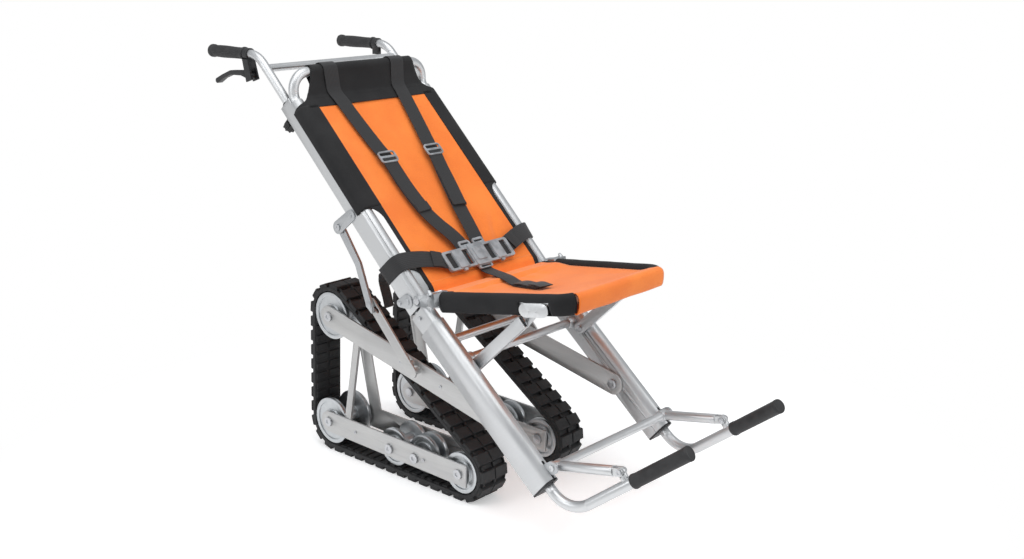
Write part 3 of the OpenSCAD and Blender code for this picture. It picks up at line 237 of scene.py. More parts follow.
# --------------------------------------------------
# Stiles and backrest profiles: extruded aluminium D sections, sawn to length
# and anodised satin silver. Fine die lines run along them.
# --------------------------------------------------
sides = (("right", -1), ("left", 1))
upper_lean = radians(45)
lower_lean = radians(40.8)
knee_y, knee_z = -14, 460


def round_off(piece, angle):
    """Smooth shading, except at edges sharper than an angle."""
    for face in piece.data.polygons:
        face.use_smooth = True
    piece.data.set_sharp_from_angle(angle=radians(angle))


def rounded_edges(piece, width, segments, angle):
    edge = piece.modifiers.new("rounded_edges", "BEVEL")
    edge.width, edge.segments = width * mm, segments
    edge.limit_method, edge.angle_limit = "ANGLE", radians(angle)
    return edge


def dress(names, finish, edge, angle=32):
    """Closes the facets of machined or extruded nodes, breaks their sharp edges and coats them."""
    for name in names:
        weld = node[name].modifiers.new("weld", "WELD")
        weld.merge_threshold = 0.01 * mm
        broken = rounded_edges(node[name], edge, 2, angle)
        broken.use_clamp_overlap = True
        broken.harden_normals = True
        round_off(node[name], angle)
        finish.on(node[name])


def anodised(name, lean, colour=(0.57, 0.58, 0.59), rough=0.42):
    """Satin anodised aluminium with die lines along a profile that leans by an angle from the floor."""
    metal = Finish(name, Metallic=0.92)
    along = metal.place(turn=(lean, 0, 0), stretch=(1, 0.012, 1))
    lines = metal.grain(along, 900, 3)
    tone = metal.grain(metal.place(), 14, 3)
    bright = tuple(min(1, c * 1.05) for c in colour)
    return metal.coat(
        colour=metal.mix(metal.step(lines * 0.55 + tone * 0.45, 0.35, 0.65), colour, bright),
        rough=metal.step(tone + lines * 0.3, 0.4, 0.9, rough - 0.05, rough + 0.07),
        height=lines, depth=0.06, strength=0.5)


dress(("right_back_profile", "left_back_profile"), anodised("anodised_upper", upper_lean), 0.5)
dress(("right_lower_stile", "left_lower_stile"), anodised("anodised_lower", -lower_lean), 0.5)

# The insert between them is the same alloy, left as it comes from the die.
dress(("stile_inserts",), anodised("insert_alloy", -lower_lean, (0.56, 0.57, 0.58), 0.38), 0.35)

# --------------------------------------------------
# Round tube: bent and welded aluminium, brushed and anodised. The welds are
# ground flat.
# --------------------------------------------------
silver = Finish("silver_tube", Metallic=0.93)
tube_tone = silver.grain(silver.place(), 9, 4)
tube_fine = silver.grain(silver.place(), 700, 2)
silver.coat(
    colour=silver.mix(silver.step(tube_tone, 0.35, 0.65), (0.6, 0.61, 0.62), (0.624, 0.6344, 0.6448)),
    rough=silver.step(tube_tone * 0.6 + tube_fine * 0.4, 0.3, 0.7, 0.3, 0.44),
    height=tube_fine, depth=0.03, strength=0.4)
dress(("backrest_loop", "push_handle", "seat_tube", "foot_tubes", "footrest_bar", "foot_braces",
       "frame_cross_tubes", "cross_tube_sockets", "seat_props"), silver, 0.4, 30)

# --------------------------------------------------
# Stamped steel: knuckle discs, dog-bone plates, saddle brackets, ears and
# the track links are punched plate, tumbled and zinc plated.
# --------------------------------------------------


def plated_steel(name, colour, rough):
    metal = Finish(name, Metallic=0.95)
    cloud = metal.grain(metal.place(), 55, 5, 0.6)
    grit = metal.grain(metal.place(), 900, 2)
    dark = tuple(c * 0.94 for c in colour)
    return metal.coat(
        colour=metal.mix(metal.step(cloud, 0.38, 0.62), dark, colour),
        rough=metal.step(cloud * 0.7 + grit * 0.3, 0.3, 0.7, rough - 0.04, rough + 0.05),
        height=grit, depth=0.04, strength=0.5)


dress(("knuckle_plates", "link_brackets", "seat_brackets", "foot_ears", "right_track_link", "left_track_link"),
      plated_steel("zinc_plate", (0.5, 0.515, 0.53), 0.42), 0.5)

# Bolts, pins and rivets: bright zinc, shinier than the plates.
dress(("frame_rivets", "track_pivot_bolts", "link_pivot_pins", "prop_bolts", "clevis_pins", "right_track_axles",
       "left_track_axles"), plated_steel("bright_zinc", (0.56, 0.57, 0.59), 0.3), 0.3)

# The rounded plates on the seat tube are polished.
dress(("seat_side_plates",), plated_steel("polished_plate", (0.66, 0.67, 0.68), 0.34), 0.7)

# --------------------------------------------------
# Track side plates: rolled aluminium strip, sawn and drilled, with the
# mill's straight grain from front to rear.
# --------------------------------------------------
strip = Finish("rolled_plate", Metallic=0.9)
mill = strip.grain(strip.place(stretch=(1, 0.03, 1)), 500, 4, 0.6)
mill_tone = strip.grain(strip.place(), 7, 3)
strip.coat(
    colour=strip.mix(strip.step(mill * 0.5 + mill_tone * 0.5, 0.38, 0.62), (0.5, 0.5, 0.5), (0.56, 0.56, 0.555)),
    rough=strip.step(mill + mill_tone * 0.4, 0.4, 1.0, 0.42, 0.54),
    height=mill, depth=0.05, strength=0.5)
dress(("right_outer_plates", "left_outer_plates", "right_inner_plate", "left_inner_plate"), strip, 0.6)

# --------------------------------------------------
# Rollers and idlers: turned discs, zinc plated, with the lathe's fine rings
# round the axle.
# --------------------------------------------------


def turned_disc(name, centre):
    metal = Finish(name, Metallic=0.95)
    here = metal.place()
    across = metal.axis(here, 1) - centre[0]
    up = metal.axis(here, 2) - centre[1]
    radius = (across * across + up * up) ** 0.5
    ring_rate = 5200
    cut = metal.made("Math", {"operation": "SINE"}, {0: radius * ring_rate})
    cloud = metal.grain(here, 60, 4)
    return metal.coat(
        colour=metal.mix(metal.step(cloud, 0.35, 0.65), (0.5, 0.52, 0.535), (0.55, 0.57, 0.585)),
        rough=metal.step(cloud, 0.3, 0.7, 0.3, 0.38),
        height=cut, depth=0.04, strength=0.35)


for wheel in ("top_roller", "rear_roller", "front_roller", "idler_a", "idler_b"):
    low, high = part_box("left_" + wheel)
    plating = turned_disc("turned_" + wheel, ((low.y + high.y) / 2, (low.z + high.z) / 2))
    dress(("right_" + wheel, "left_" + wheel), plating, 0.5)

# --------------------------------------------------
# Black mouldings: stile caps, slide bushes, clamp knobs, handle collars and
# the brake lever are glass-filled nylon with a fine spark texture.
# --------------------------------------------------


def moulded(name, colour, rough):
    nylon = Finish(name, Specular_IOR_Level=0.45)
    spark = nylon.grain(nylon.place(), 1500, 3)
    tone = nylon.grain(nylon.place(), 40, 3)
    light = tuple(c * 1.6 + 0.002 for c in colour)
    return nylon.coat(
        colour=nylon.mix(nylon.step(tone, 0.35, 0.65), colour, light),
        rough=nylon.step(spark * 0.5 + tone * 0.5, 0.3, 0.7, rough - 0.06, rough + 0.1),
        height=spark, depth=0.08, strength=0.5)


dress(("stile_end_caps", "slide_bushes", "right_clamp_knob", "left_clamp_knob", "handle_collar", "brake_perch",
       "brake_lever"), moulded("black_nylon", (0.012, 0.012, 0.013), 0.45), 0.8)

# --------------------------------------------------
# Hand grips: moulded rubber sleeves pushed on the handle tubes, with a flange
# at the front, shallow flutes for the fingers and a closed, domed end.
# --------------------------------------------------


def placed(name, mesh, body):
    """An object that rides on a body, or on none if no body is given."""
    piece = bpy.data.objects.new(name, mesh)
    view.collection.objects.link(piece)
    if body:
        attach(piece, body)
    return piece


def new_piece(name, points, faces, body):
    mesh = bpy.data.meshes.new(name)
    mesh.from_pydata([tuple(p) for p in points], [], faces)
    mesh.validate()
    return placed(name, mesh, body)


def turned(name, start, ahead, outline, body, around=64, flutes=0, flute_depth=0.0, fluted=(0, 0)):
    """A rubber body of revolution on an axis; its outline is a list of (distance along, radius), in mm."""
    ahead = Vector(ahead).normalized()
    side = ahead.cross(Vector((0, 0, 1)) if abs(ahead.z) < 0.9 else Vector((1, 0, 0))).normalized()
    up = side.cross(ahead)
    points, faces = [], []
    for along, radius in outline:
        inside = min(1, max(0, min(along - fluted[0], fluted[1] - along) / 4)) if flutes else 0
        for i in range(around):
            turn = 2 * pi * i / around
            cut = inside * flute_depth * (0.5 - 0.5 * cos(flutes * turn)) ** 3
            arm = side * cos(turn) + up * sin(turn)
            points.append(Vector(start) + (ahead * along + arm * (radius - cut)) * mm)
    for ring in range(len(outline) - 1):
        for i in range(around):
            a, b = ring * around + i, ring * around + (i + 1) % around
            faces.append((a, b, b + around, a + around))
    faces.append(tuple(range(around))[::-1])
    faces.append(tuple(len(points) - around + i for i in range(around)))
    piece = new_piece(name, points, faces, body)
    round_off(piece, 40)
    return piece


def grip_outline(length, flange, waist, end):
    """Front flange, waisted grip, end ring and a shallow dome."""
    rows = [(0, 11.4), (0, flange - 1.2), (0.8, flange - 0.3), (2, flange), (5.2, flange), (6.6, flange - 0.5),
            (8, waist + 0.6), (10, waist)]
    steps = 26
    for i in range(1, steps):
        share = i / steps
        belly = sin(pi * share) * 0.9
        rows.append((10 + (length - 24) * share, waist + belly - 0.5 * sin(2 * pi * share)))
    rows += [(length - 13.4, waist + 0.1), (length - 11.6, end - 0.6), (length - 10, end - 0.1), (length - 3, end),
             (length - 1.2, end - 0.5), (length - 0.3, end - 1.8), (length, end - 3.4), (length - 0.7, end - 4.2),
             (length - 0.5, end - 8), (length - 0.4, 1.5)]
    return rows


rubber = moulded("grip_rubber", (0.017, 0.017, 0.018), 0.55)
grip_x, grip_z = 214, 1001
hand_outline = grip_outline(138, 16.4, 14.3, 16.4)
for side, sign in sides:
    low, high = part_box("push_grips")
    grip = turned(side + "_hand_grip", (sign * grip_x * mm, low.y, grip_z * mm), (0, 1, 0), hand_outline,
                  "push_handle_frame", around=96, flutes=24, flute_depth=0.7, fluted=(14, 122))
    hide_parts("push_grips")
    rubber.on(grip)

# The foot grips are plain rubber with a flat closed end, on the foot tubes' upturned ends.
toe_in, foot_turn = radians(7), radians(78)
foot_reach, foot_off, foot_grip_from = 574, 5, 190
down = Vector((0, -cos(lower_lean), -sin(lower_lean)))
sideways = Vector((-sin(toe_in), -sin(lower_lean) * cos(toe_in),
                   cos(lower_lean) * cos(toe_in)))
foot_ahead = down * cos(foot_turn) + sideways * sin(foot_turn)
foot_corner = Vector((grip_x, knee_y - foot_off * sin(lower_lean), knee_z + foot_off * cos(lower_lean)))
foot_corner += down * foot_reach
foot_outline = [(0, 12.8), (0, 15.2), (0.8, 16.1), (2, 16.5), (7, 16.5), (8.4, 16.3), (9.6, 15.8), (12, 15.6),
                (60, 15.7), (110, 15.6), (146, 15.8), (147.4, 16.3), (149, 16.5), (152.6, 16.5), (154, 16),
                (154.8, 15), (155, 13.6), (154.4, 12.8), (154.6, 8), (154.7, 1.5)]
foam = moulded("foot_grip_rubber", (0.02, 0.02, 0.021), 0.62)
for side, sign in sides:
    flip = Vector((sign, 1, 1))
    start = (foot_corner + foot_ahead * foot_grip_from) * flip * mm
    grip = turned(side + "_foot_grip", start, foot_ahead * flip, foot_outline, "foot_frame")
    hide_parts("foot_grips")
    foam.on(grip)

# --------------------------------------------------
# Track belts: moulded rubber on cord. Outside, each row is a low block with
# two half blocks on it and tabs to the next row; inside are two pad columns.
# --------------------------------------------------
belt_corners = [(356, 82, 60), (341, 366, 60), (-103, 72, 50)]
carcass, belt_middle, belt_half, rows_round, pads_round = 13.0, 143.0, 43.0, 44, 66


def belt_runs():
    """Turns and straight runs, in order: (length, place, outward angle at the start, turn or None)."""
    parts = []
    lean = []
    for i in range(3):
        (y0, z0, r0), (y1, z1, r1) = belt_corners[i], belt_corners[(i + 1) % 3]
        long = hypot(y1 - y0, z1 - z0)
        lean.append((atan2(z1 - z0, y1 - y0) - pi / 2 + asin((r0 - r1) / long),
                     sqrt(long ** 2 - (r0 - r1) ** 2)))
    for i in range(3):
        y, z, r = belt_corners[i]
        before, after = lean[i - 1][0], lean[i][0]
        turn = (after - before) % (2 * pi)
        parts.append(((r + carcass) * turn, (y, z), before, turn, r))
        parts.append((lean[i][1], (y, z), after, None, r))
    return parts


belt_parts = belt_runs()
belt_length = sum(part[0] for part in belt_parts)


def belt_at(distance):
    """The place on the carcass's outer face and the outward direction, in the Y-Z plane."""
    distance %= belt_length
    for length, (y, z), angle, turn, r in belt_parts:
        if distance <= length:
            break
        distance -= length
    if turn:
        angle += turn * distance / length
    out = Vector((cos(angle), sin(angle)))
    place = Vector((y, z)) + out * (r + carcass)
    if not turn:
        place += Vector((-out.y, out.x)) * distance
    return place, out


def belt_block(points, faces, distance, across, root, tip, low, high, end_slope):
    """One block of rubber on the belt, root and tip long, from low to high above the carcass."""
    place, out = belt_at(distance)
    along = Vector((-out.y, out.x))
    base = len(points)
    for height, long, inset in ((low, root, 0), (high, tip, end_slope)):
        for x in (across[0] + inset, across[1] - inset):
            for end in (-1, 1):
                at = place + out * height + along * (end * long / 2)
                points.append(Vector((belt_middle + x, at.x, at.y)) * mm)
    for face in ((0, 1, 3, 2), (4, 6, 7, 5), (0, 4, 5, 1), (2, 3, 7, 6), (0, 2, 6, 4), (1, 5, 7, 3)):
        faces.append(tuple(base + i for i in face))


def belt_piece(side, sign):
    points, faces = [], []
    side_x, low_x, top_x, inner = belt_half, belt_half - 1.5, belt_half - 1.2, -carcass
    outline = [(-side_x, inner + 4.2), (-low_x, inner + 3.4), (low_x, inner + 3.4), (side_x, inner + 4.2),
               (side_x, -1.2), (top_x, 0), (-top_x, 0), (-side_x, -1.2)]
    count = 4 * rows_round
    for k in range(count):
        place, out = belt_at(belt_length * k / count)
        points += [Vector((belt_middle + x, place.x + out.x * h, place.y + out.y * h)) * mm for x, h in outline]
    size = len(outline)
    for k in range(count):
        for j in range(size):
            a, b = k * size + j, k * size + (j + 1) % size
            c, d = (k + 1) % count * size + (j + 1) % size, (k + 1) % count * size + j
            faces.append((a, d, c, b))
    pitch = belt_length / rows_round
    for k in range(rows_round):
        here = (k + 0.5) * pitch
        belt_block(points, faces, here, (-42, 42), 29.6, 27, -2.5, 6.2, 0.6)
        for across in ((1.1, 42.4), (-42.4, -1.1)):
            belt_block(points, faces, here, across, 28.4, 25.2, 4.0, 8.8, 1.0)
        for across in ((-8, -1), (-41, -37), (31, 36)):
            belt_block(points, faces, here + pitch / 2, across, 13, 11, -2, 5.4, 0.6)
    for k in range(pads_round):
        for across in ((-39, -4), (4, 39)):
            here = (k + 0.5) * belt_length / pads_round
            belt_block(points, faces, here, across, 17, 15.5, inner + 4, inner + 0.3, 1.0)
    if sign < 0:
        points = [Vector((-p.x, p.y, p.z)) for p in points]
        faces = [face[::-1] for face in faces]
    piece = new_piece(side + "_track_belt", points, faces, side + "_track")
    rounded_edges(piece, 1.1, 2, 38)
    round_off(piece, 38)
    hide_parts(side + "_belt")
    return piece


belt_rubber = Finish("belt_rubber", Specular_IOR_Level=0.4)
skin = belt_rubber.grain(belt_rubber.place(), 160, 5, 0.65)
dust = belt_rubber.grain(belt_rubber.place(), 18, 4, 0.6)
worn = belt_rubber.step(dust * 0.7 + skin * 0.3, 0.42, 0.7)
belt_rubber.coat(
    colour=belt_rubber.mix(worn, (0.011, 0.011, 0.012), (0.03, 0.03, 0.031)),
    rough=belt_rubber.step(skin, 0.3, 0.7, 0.5, 0.72), height=skin, depth=0.25, strength=0.5)
for side, sign in sides:
    belt_rubber.on(belt_piece(side, sign))

# --------------------------------------------------
# Back sling: orange coated polyester, plain weave, sewn to black borders. It
# hangs between the two profiles and the loop, a little slack in the middle.
# --------------------------------------------------
half_turn = sqrt(0.5)
panel_n = 31.5
nose_x, nose_n, nose_r = 214.0, 13.0, 18.2


def on_back(x, s, n):
    """A place on the backrest: x across, s up the profile from the knee, n towards the seat side, in mm."""
    return Vector((x, knee_y + (s - n) * half_turn, knee_z + (s + n) * half_turn)) * mm


def over_nose(w, s, raised=0.0):
    """A place on cloth that lies flat between the profiles and goes round their noses; w is measured on the cloth."""
    side, far, r = copysign(1, w), abs(w), nose_r + raised
    if far <= nose_x:
        return on_back(w, s, nose_n + r)
    turn = (far - nose_x) / nose_r
    if turn <= pi / 2:
        return on_back(side * (nose_x + r * sin(turn)), s, nose_n + r * cos(turn))
    return on_back(side * (nose_x + r), s, nose_n - (far - nose_x - nose_r * pi / 2))


def folds(x, s, creases):
    """Soft creases in cloth, each with its middle, the angle it runs at, its width, length and depth."""
    sum_of = 0.0
    for middle_x, middle_s, lean, wide, long, deep in creases:
        dx, ds, lean = x - middle_x, s - middle_s, radians(lean)
        along = dx * cos(lean) + ds * sin(lean)
        aside = -dx * sin(lean) + ds * cos(lean)
        sum_of += deep * exp(-(along / long) ** 2) * exp(-(aside / wide) ** 2)
    return sum_of


def cloth(name, rows, body, thick):
    """A sheet from rows of points, with lengths on the cloth as its map."""
    across, down_rows = len(rows[0]), len(rows)
    faces = [(r * across + c, r * across + c + 1, (r + 1) * across + c + 1, (r + 1) * across + c)
             for r in range(down_rows - 1) for c in range(across - 1)]
    piece = new_piece(name, [p for row in rows for p in row], faces, body)
    wide = [[0.0] for row in rows]
    for r, row in enumerate(rows):
        for c in range(1, across):
            wide[r].append(wide[r][-1] + (row[c] - row[c - 1]).length)
    centre = across // 2
    long = [0.0]
    for r in range(1, down_rows):
        long.append(long[-1] + (rows[r][centre] - rows[r - 1][centre]).length)
    cut = piece.data.uv_layers.new(name="cut")
    for loop in piece.data.loops:
        r, c = divmod(loop.vertex_index, across)
        cut.data[loop.index].uv = (wide[r][c] - wide[r][centre], long[r])
    for face in piece.data.polygons:
        face.use_smooth = True
    body_of_cloth = piece.modifiers.new("thickness", "SOLIDIFY")
    body_of_cloth.thickness, body_of_cloth.offset = thick * mm, 0
    return piece


def spread(low, high, count):
    return [low + (high - low) * i / (count - 1) for i in range(count)]


def woven(name, colour, dark, rough, sheen):
    """Plain woven cloth: threads both ways on the cut's own map, and slow changes of tone."""
    fabric = Finish(name, Specular_IOR_Level=0.25, Sheen_Weight=sheen, Sheen_Roughness=0.5)
    cut = fabric.made("TexCoord", {}, {}, "UV")
    thread_wide = 0.9 * mm
    turns = pi / thread_wide
    warp = fabric.made("Math", {"operation": "SINE"}, {0: fabric.axis(cut, 0) * turns})
    weft = fabric.made("Math", {"operation": "SINE"}, {0: fabric.axis(cut, 1) * turns})
    threads = warp * weft
    slub = fabric.grain(fabric.place(), 260, 3, 0.6)
    tone = fabric.grain(fabric.place(), 11, 3)
    shade = fabric.step(tone * 0.55 + slub * 0.35 + threads * 0.1, 0.3, 0.62)
    return fabric.coat(
        colour=fabric.mix(shade, dark, colour), rough=fabric.step(slub, 0.3, 0.7, rough - 0.08, rough + 0.08),
        height=threads * 0.5 + slub, depth=0.14, strength=0.6)


orange_cloth = woven("orange_cloth", (0.96, 0.25, 0.035), (0.86, 0.19, 0.022), 0.78, 0.25)
black_cloth = woven("black_cloth", (0.021, 0.021, 0.022), (0.011, 0.011, 0.012), 0.8, 0.06)


def back_slack(x, s):
    """How far the cloth sits behind the plane of the noses."""
    middle = max(0.0, 1 - (x / 186) ** 2)
    slack = 9 * middle * sin(pi * min(1, max(0, (s - 20) / 600))) ** 0.8
    slack += folds(x, s, ((118, 140, 62, 11, 60, 2.6), (98, 132, 66, 10, 62, -1.6), (-120, 120, -58, 12, 55, 2.0),
                          (60, 60, 20, 9, 90, 2.0), (-70, 66, -14, 9, 80, 2.0)))
    return slack + 0.5 * middle * sin(x / 31 + s / 57) * sin(s / 41)


panel_half, border_from, border_to = 182, 177, 190
rows = [[on_back(x, s, panel_n - back_slack(x, s)) for x in spread(-panel_half, panel_half, 61)]
        for s in spread(40, 575, 90)]
back_panel = cloth("back_panel", rows, "frame", 1.1)
orange_cloth.on(back_panel)
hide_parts("back_sling")

# The crease between back and seat: one run of points carries the orange cloth and its black borders.
seat_lean = radians(8.4)
hinge = Vector((0, -18.243, 484.042))


def on_seat(x, d, h):
    """A place on the seat: x across, d ahead of the hinge, h above it, in mm."""
    return (hinge + Vector((x, h * sin(seat_lean) - d * cos(seat_lean),
                            d * sin(seat_lean) + h * cos(seat_lean)))) * mm


def smooth_run(knots, per):
    """A smooth run through points, by the tangent from each one's neighbours."""
    run = []
    for i in range(len(knots) - 1):
        a, b = knots[i], knots[i + 1]
        before = knots[i - 1] if i else a * 2 - b
        after = knots[i + 2] if i + 2 < len(knots) else b * 2 - a
        for k in range(per):
            t = k / per
            run.append(0.5 * ((2 * a) + (b - before) * t + (2 * before - 5 * a + 4 * b - after) * t ** 2
                              + (3 * a - before - 3 * b + after) * t ** 3))
    return run + [knots[-1]]


def crease(x, lift=0.0):
    """From the foot of the back, down into the crease and out on the seat."""
    knots = [on_back(x, s, panel_n + n + lift) for s, n in ((46, 0), (32, -1), (17, -5))]
    knots += [on_seat(x, d, h + lift) for d, h in ((22, 12), (42, 11.5), (64, 12.5))]
    return smooth_run(knots, 4)


def border_edge(s):
    """Where the border's outer edge is cut, measured from the middle of the cloth: straight, then an arc."""
    arc_from, arc_r = 232, 40
    if s < arc_from:
        return border_to
    return border_to + arc_r - sqrt(max(0, arc_r ** 2 - (s - arc_from) ** 2))


for side, sign in sides:
    sleeve = [[over_nose(sign * w, s, 0.9) for w in spread(border_from, 253, 26)] for s in spread(270, 577, 50)]
    flap = [[on_back(sign * 197, s, n) for n in spread(31, 2.5, 8)] for s in spread(271, 576, 50)]
    low = [[over_nose(sign * w, s, 0.4) for w in spread(border_from, border_edge(s), 8)]
           for s in spread(272, 46, 40)]
    foot = list(zip(*[crease(sign * x, 0.9) for x in spread(border_from, border_to, 8)]))
    border = cloth(side + "_back_border", sleeve, "frame", 1.5)
    inside = cloth(side + "_border_flap", flap, "frame", 1.3)
    tail = cloth(side + "_border_foot", low + [list(row) for row in foot[1:]], None, 1.5)
    black_cloth.on(border, inside, tail)
    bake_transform(tail)

# --------------------------------------------------
# Head band: doubled black cloth that leaves the backrest at the loop's bend,
# goes over its cross tube as a sleeve and is sewn down behind the front layer.
# --------------------------------------------------
loop_centre = Vector((0, 413.83, 965))
band_from, band_r = 569, 15.6


def head_run():
    """The band's path in the Y-Z plane, from the top of the orange to the seam behind it."""
    path = [on_back(0, s, panel_n + 0.9) / mm for s in spread(band_from, band_from + 28, 15)]
    path += smooth_run([path[-1], Vector((0, 391.5, 913.5)), Vector((0, 396.4, 938)),
                        loop_centre + Vector((0, -band_r, -6))], 6)[1:]
    path += [loop_centre + Vector((0, -band_r * cos(turn), band_r * sin(turn)))
             for turn in spread(0, radians(188), 22)]
    path += smooth_run([path[-1], Vector((0, 416, 946)), Vector((0, 400.5, 920)), Vector((0, 397, 914.5))], 5)[1:]
    return path


head_path = head_run()
head_length = [0.0]
for a, b in zip(head_path, head_path[1:]):
    head_length.append(head_length[-1] + (b - a).length)
# Half the band's width at each distance along it, where the corners are cut out for the loop.
notch = [(0, 253), (7, 252), (9.5, 246), (12, 236), (15, 224), (19, 212), (25, 202), (33, 194), (44, 187), (60, 180),
         (80, 173), (98, 168), (400, 168)]


def head_half(far):
    for (a, wide_a), (b, wide_b) in zip(notch, notch[1:]):
        if far <= b:
            return wide_a + (wide_b - wide_a) * (far - a) / (b - a)
    return notch[-1][1]


rows = []
for point, far in zip(head_path, head_length):
    half = head_half(far)
    row = []
    for share in spread(-1, 1, 61):
        w = half * share
        if far < 27:
            row.append(over_nose(w, band_from + far, 0.9))
        else:
            ripple = 0.8 * sin(w / 24 + far / 17) * sin(far / 29) if far < 90 else 0
            row.append((point + Vector((w, -ripple, 0))) * mm)
    rows.append(row)
head_band = cloth("head_band", rows, "frame", 1.5)
black_cloth.on(head_band)
band_area = sum(2 * head_half(a) * (b - a) for a, b in zip(head_length, head_length[1:])) * mm * mm

# --------------------------------------------------
# Seat sling: the same orange cloth, slack between the side tubes, over the
# front bar and hemmed below it. Black sleeves carry it on the side tubes.
# --------------------------------------------------
rail_rear, rail_front, rail_from, bar_d, rail_h, corner_r, tube_r = 205.0, 165.0, 34, 396.0, 3.0, 45.0, 12.5
rail_turn = atan((rail_rear - rail_front) / (bar_d - rail_from))
corner_cut = corner_r * tan((pi / 2 - rail_turn) / 2)


def rail_x(d):
    """The side tube's distance from the middle."""
    return rail_rear - (rail_rear - rail_front) * (d - rail_from) / (bar_d - rail_from)


def seat_dip(x, d):
    """How far the seat cloth hangs below the tops of the tubes."""
    half = rail_x(d) - 12
    middle = max(0.0, 1 - (x / half) ** 2)
    dip = 21 * middle * sin(pi * min(1, max(0, (d + 20) / 410))) ** 0.7
    dip += folds(x, d, ((0, 118, 80, 15, 80, 3.4), (88, 70, 62, 13, 46, 3.2), (-92, 66, 118, 13, 48, 3.4),
                        (-60, 62, 112, 11, 40, -2.0), (45, 66, 70, 10, 40, 2.2), (-140, 250, 96, 16, 110, 1.8),
                        (128, 260, 84, 15, 110, 1.8)))
    return dip + 0.6 * middle * sin(x / 37 + 1.3) * sin(d / 49)


skin_r, crease_end, hem_half = tube_r + 1.2, 64, 153.0


def ease(share):
    """A smooth step from 0 to 1."""
    share = min(1, max(0, share))
    return share * share * (3 - 2 * share)


def cloth_height(x, d):
    """The seat cloth's height over the hinge: level with the tubes at the front bar, lower between the sleeves."""
    hung = 10 * ease((d - crease_end) / 50) * ease((bar_d - d) / 60)
    dip = 0.62 * seat_dip(x, d) * ease((bar_d - d) / 40)
    return rail_h + skin_r - 1 - hung - dip - 3.2 * (1 - min(1, (d - crease_end) / 40))


rows = [list(row) for row in zip(*[crease(x) for x in spread(-183, 183, 61)])]
for d in spread(70, bar_d - 4, 56):
    half = rail_x(d) - 19 + 4 * ease((d - crease_end) / 40)
    rows.append([on_seat(x, d, cloth_height(x, d)) for x in spread(-half, half, 61)])
for turn in spread(radians(8), radians(88), 12):
    half = rail_front - 15 + (hem_half - rail_front + 15) * sin(turn)
    rows.append([on_seat(x, bar_d + skin_r * sin(turn), rail_h + skin_r * cos(turn)
                         + 0.3 * sin(x / 13)) for x in spread(-half, half, 61)])
for fall, back in ((4, 0.2), (10, 1.0), (16, 2.4), (22, 4.2), (27, 6.4), (30.5, 9), (32, 12), (30, 15), (24, 18),
                   (15, 20.5), (8, 22.5)):
    rows.append([on_seat(x, bar_d + skin_r - back - 0.5 * sin(x / 27) * fall / 30,
                         rail_h - fall + 0.4 * sin(x / 19)) for x in spread(-hem_half, hem_half, 61)])
seat_panel = cloth("seat_panel", rows, None, 1.1)
orange_cloth.on(seat_panel)
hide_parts("seat_sling")
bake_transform(seat_panel)


def rail_run(back_d, end_turn):
    """The tube's centre line from the rear into the front corner, as far as end_turn: (place, outward side)."""
    run = []
    aside = Vector((cos(rail_turn), sin(rail_turn)))
    forward = Vector((-sin(rail_turn), cos(rail_turn)))
    corner = Vector((rail_front, bar_d))
    turn_start = corner - forward * corner_cut
    start = Vector((rail_x(back_d), back_d))
    straight = (turn_start - start).length
    for far in spread(0, straight, 44):
        run.append((start + forward * far, aside))
    centre = turn_start - aside * corner_r
    for turn in spread(rail_turn, end_turn, 12)[1:]:
        out = Vector((cos(turn), sin(turn)))
        run.append((centre + out * corner_r, out))
    return run


def sleeve_ring(place, out, far, size):
    """Round the tube: from the border on the panel, over the top, down the outside and up behind the panel."""
    ring = []
    wave = 0.7 * sin(far / 23) + 0.5 * sin(far / 9.1 + 1)
    for turn in spread(radians(-98), radians(262), 38):
        r = tube_r + 1.4 + 1.6 * max(0.0, sin(turn - radians(80))) + 0.35 * wave * sin(turn)
        low = 17.5 * max(0.0, sin(turn - radians(90))) ** 2
        lift = rail_h + r * cos(turn) - low + 0.2 * wave
        middle = rail_h - 6
        ring.append(on_seat(*(place + out * (size * r * sin(turn))), middle + size * (lift - middle)))
    return ring


sleeve_from, sleeve_turn, window_low, window_high = 50, radians(58), 269, 349
for side, sign in sides:
    run = rail_run(sleeve_from, sleeve_turn)
    far, rings = 0.0, []
    for i, (place, out) in enumerate(run):
        if i:
            far += (place - run[i - 1][0]).length
        rings.append(sleeve_ring(place, out, far, 1.0))
    # The front end is sewn shut and rounded over.
    for ahead, size in ((1.8, 0.97), (3.4, 0.88), (4.6, 0.72), (5.2, 0.45), (5.4, 0.1)):
        rings.append(sleeve_ring(place + Vector((-out.y, out.x)) * ahead, out, far, size))
    rings = [[Vector((sign * p.x, p.y, p.z)) for p in ring] for ring in rings]
    sleeve = cloth(side + "_seat_sleeve", rings, "seat_frame", 1.5)
    # Its outer side is cut open where the silver plate sits on the tube.
    mesh = bmesh.new()
    mesh.from_mesh(sleeve.data)
    cut = []
    for face in mesh.faces:
        local = face.calc_center_median() / mm - hinge
        d = local.z * sin(seat_lean) - local.y * cos(seat_lean)
        h = local.z * cos(seat_lean) + local.y * sin(seat_lean)
        if window_low < d < window_high and h < 1.5 and abs(local.x) > rail_x(d) + 1:
            cut.append(face)
    bmesh.ops.delete(mesh, geom=cut, context="FACES")
    mesh.to_mesh(sleeve.data)
    mesh.free()
    black_cloth.on(sleeve)
    far * mm

# --------------------------------------------------
# Harness webbing: 44 mm polyester, woven with fine ribs along it. The two
# shoulder straps come over the head band and lie on the back to the buckle.
# --------------------------------------------------


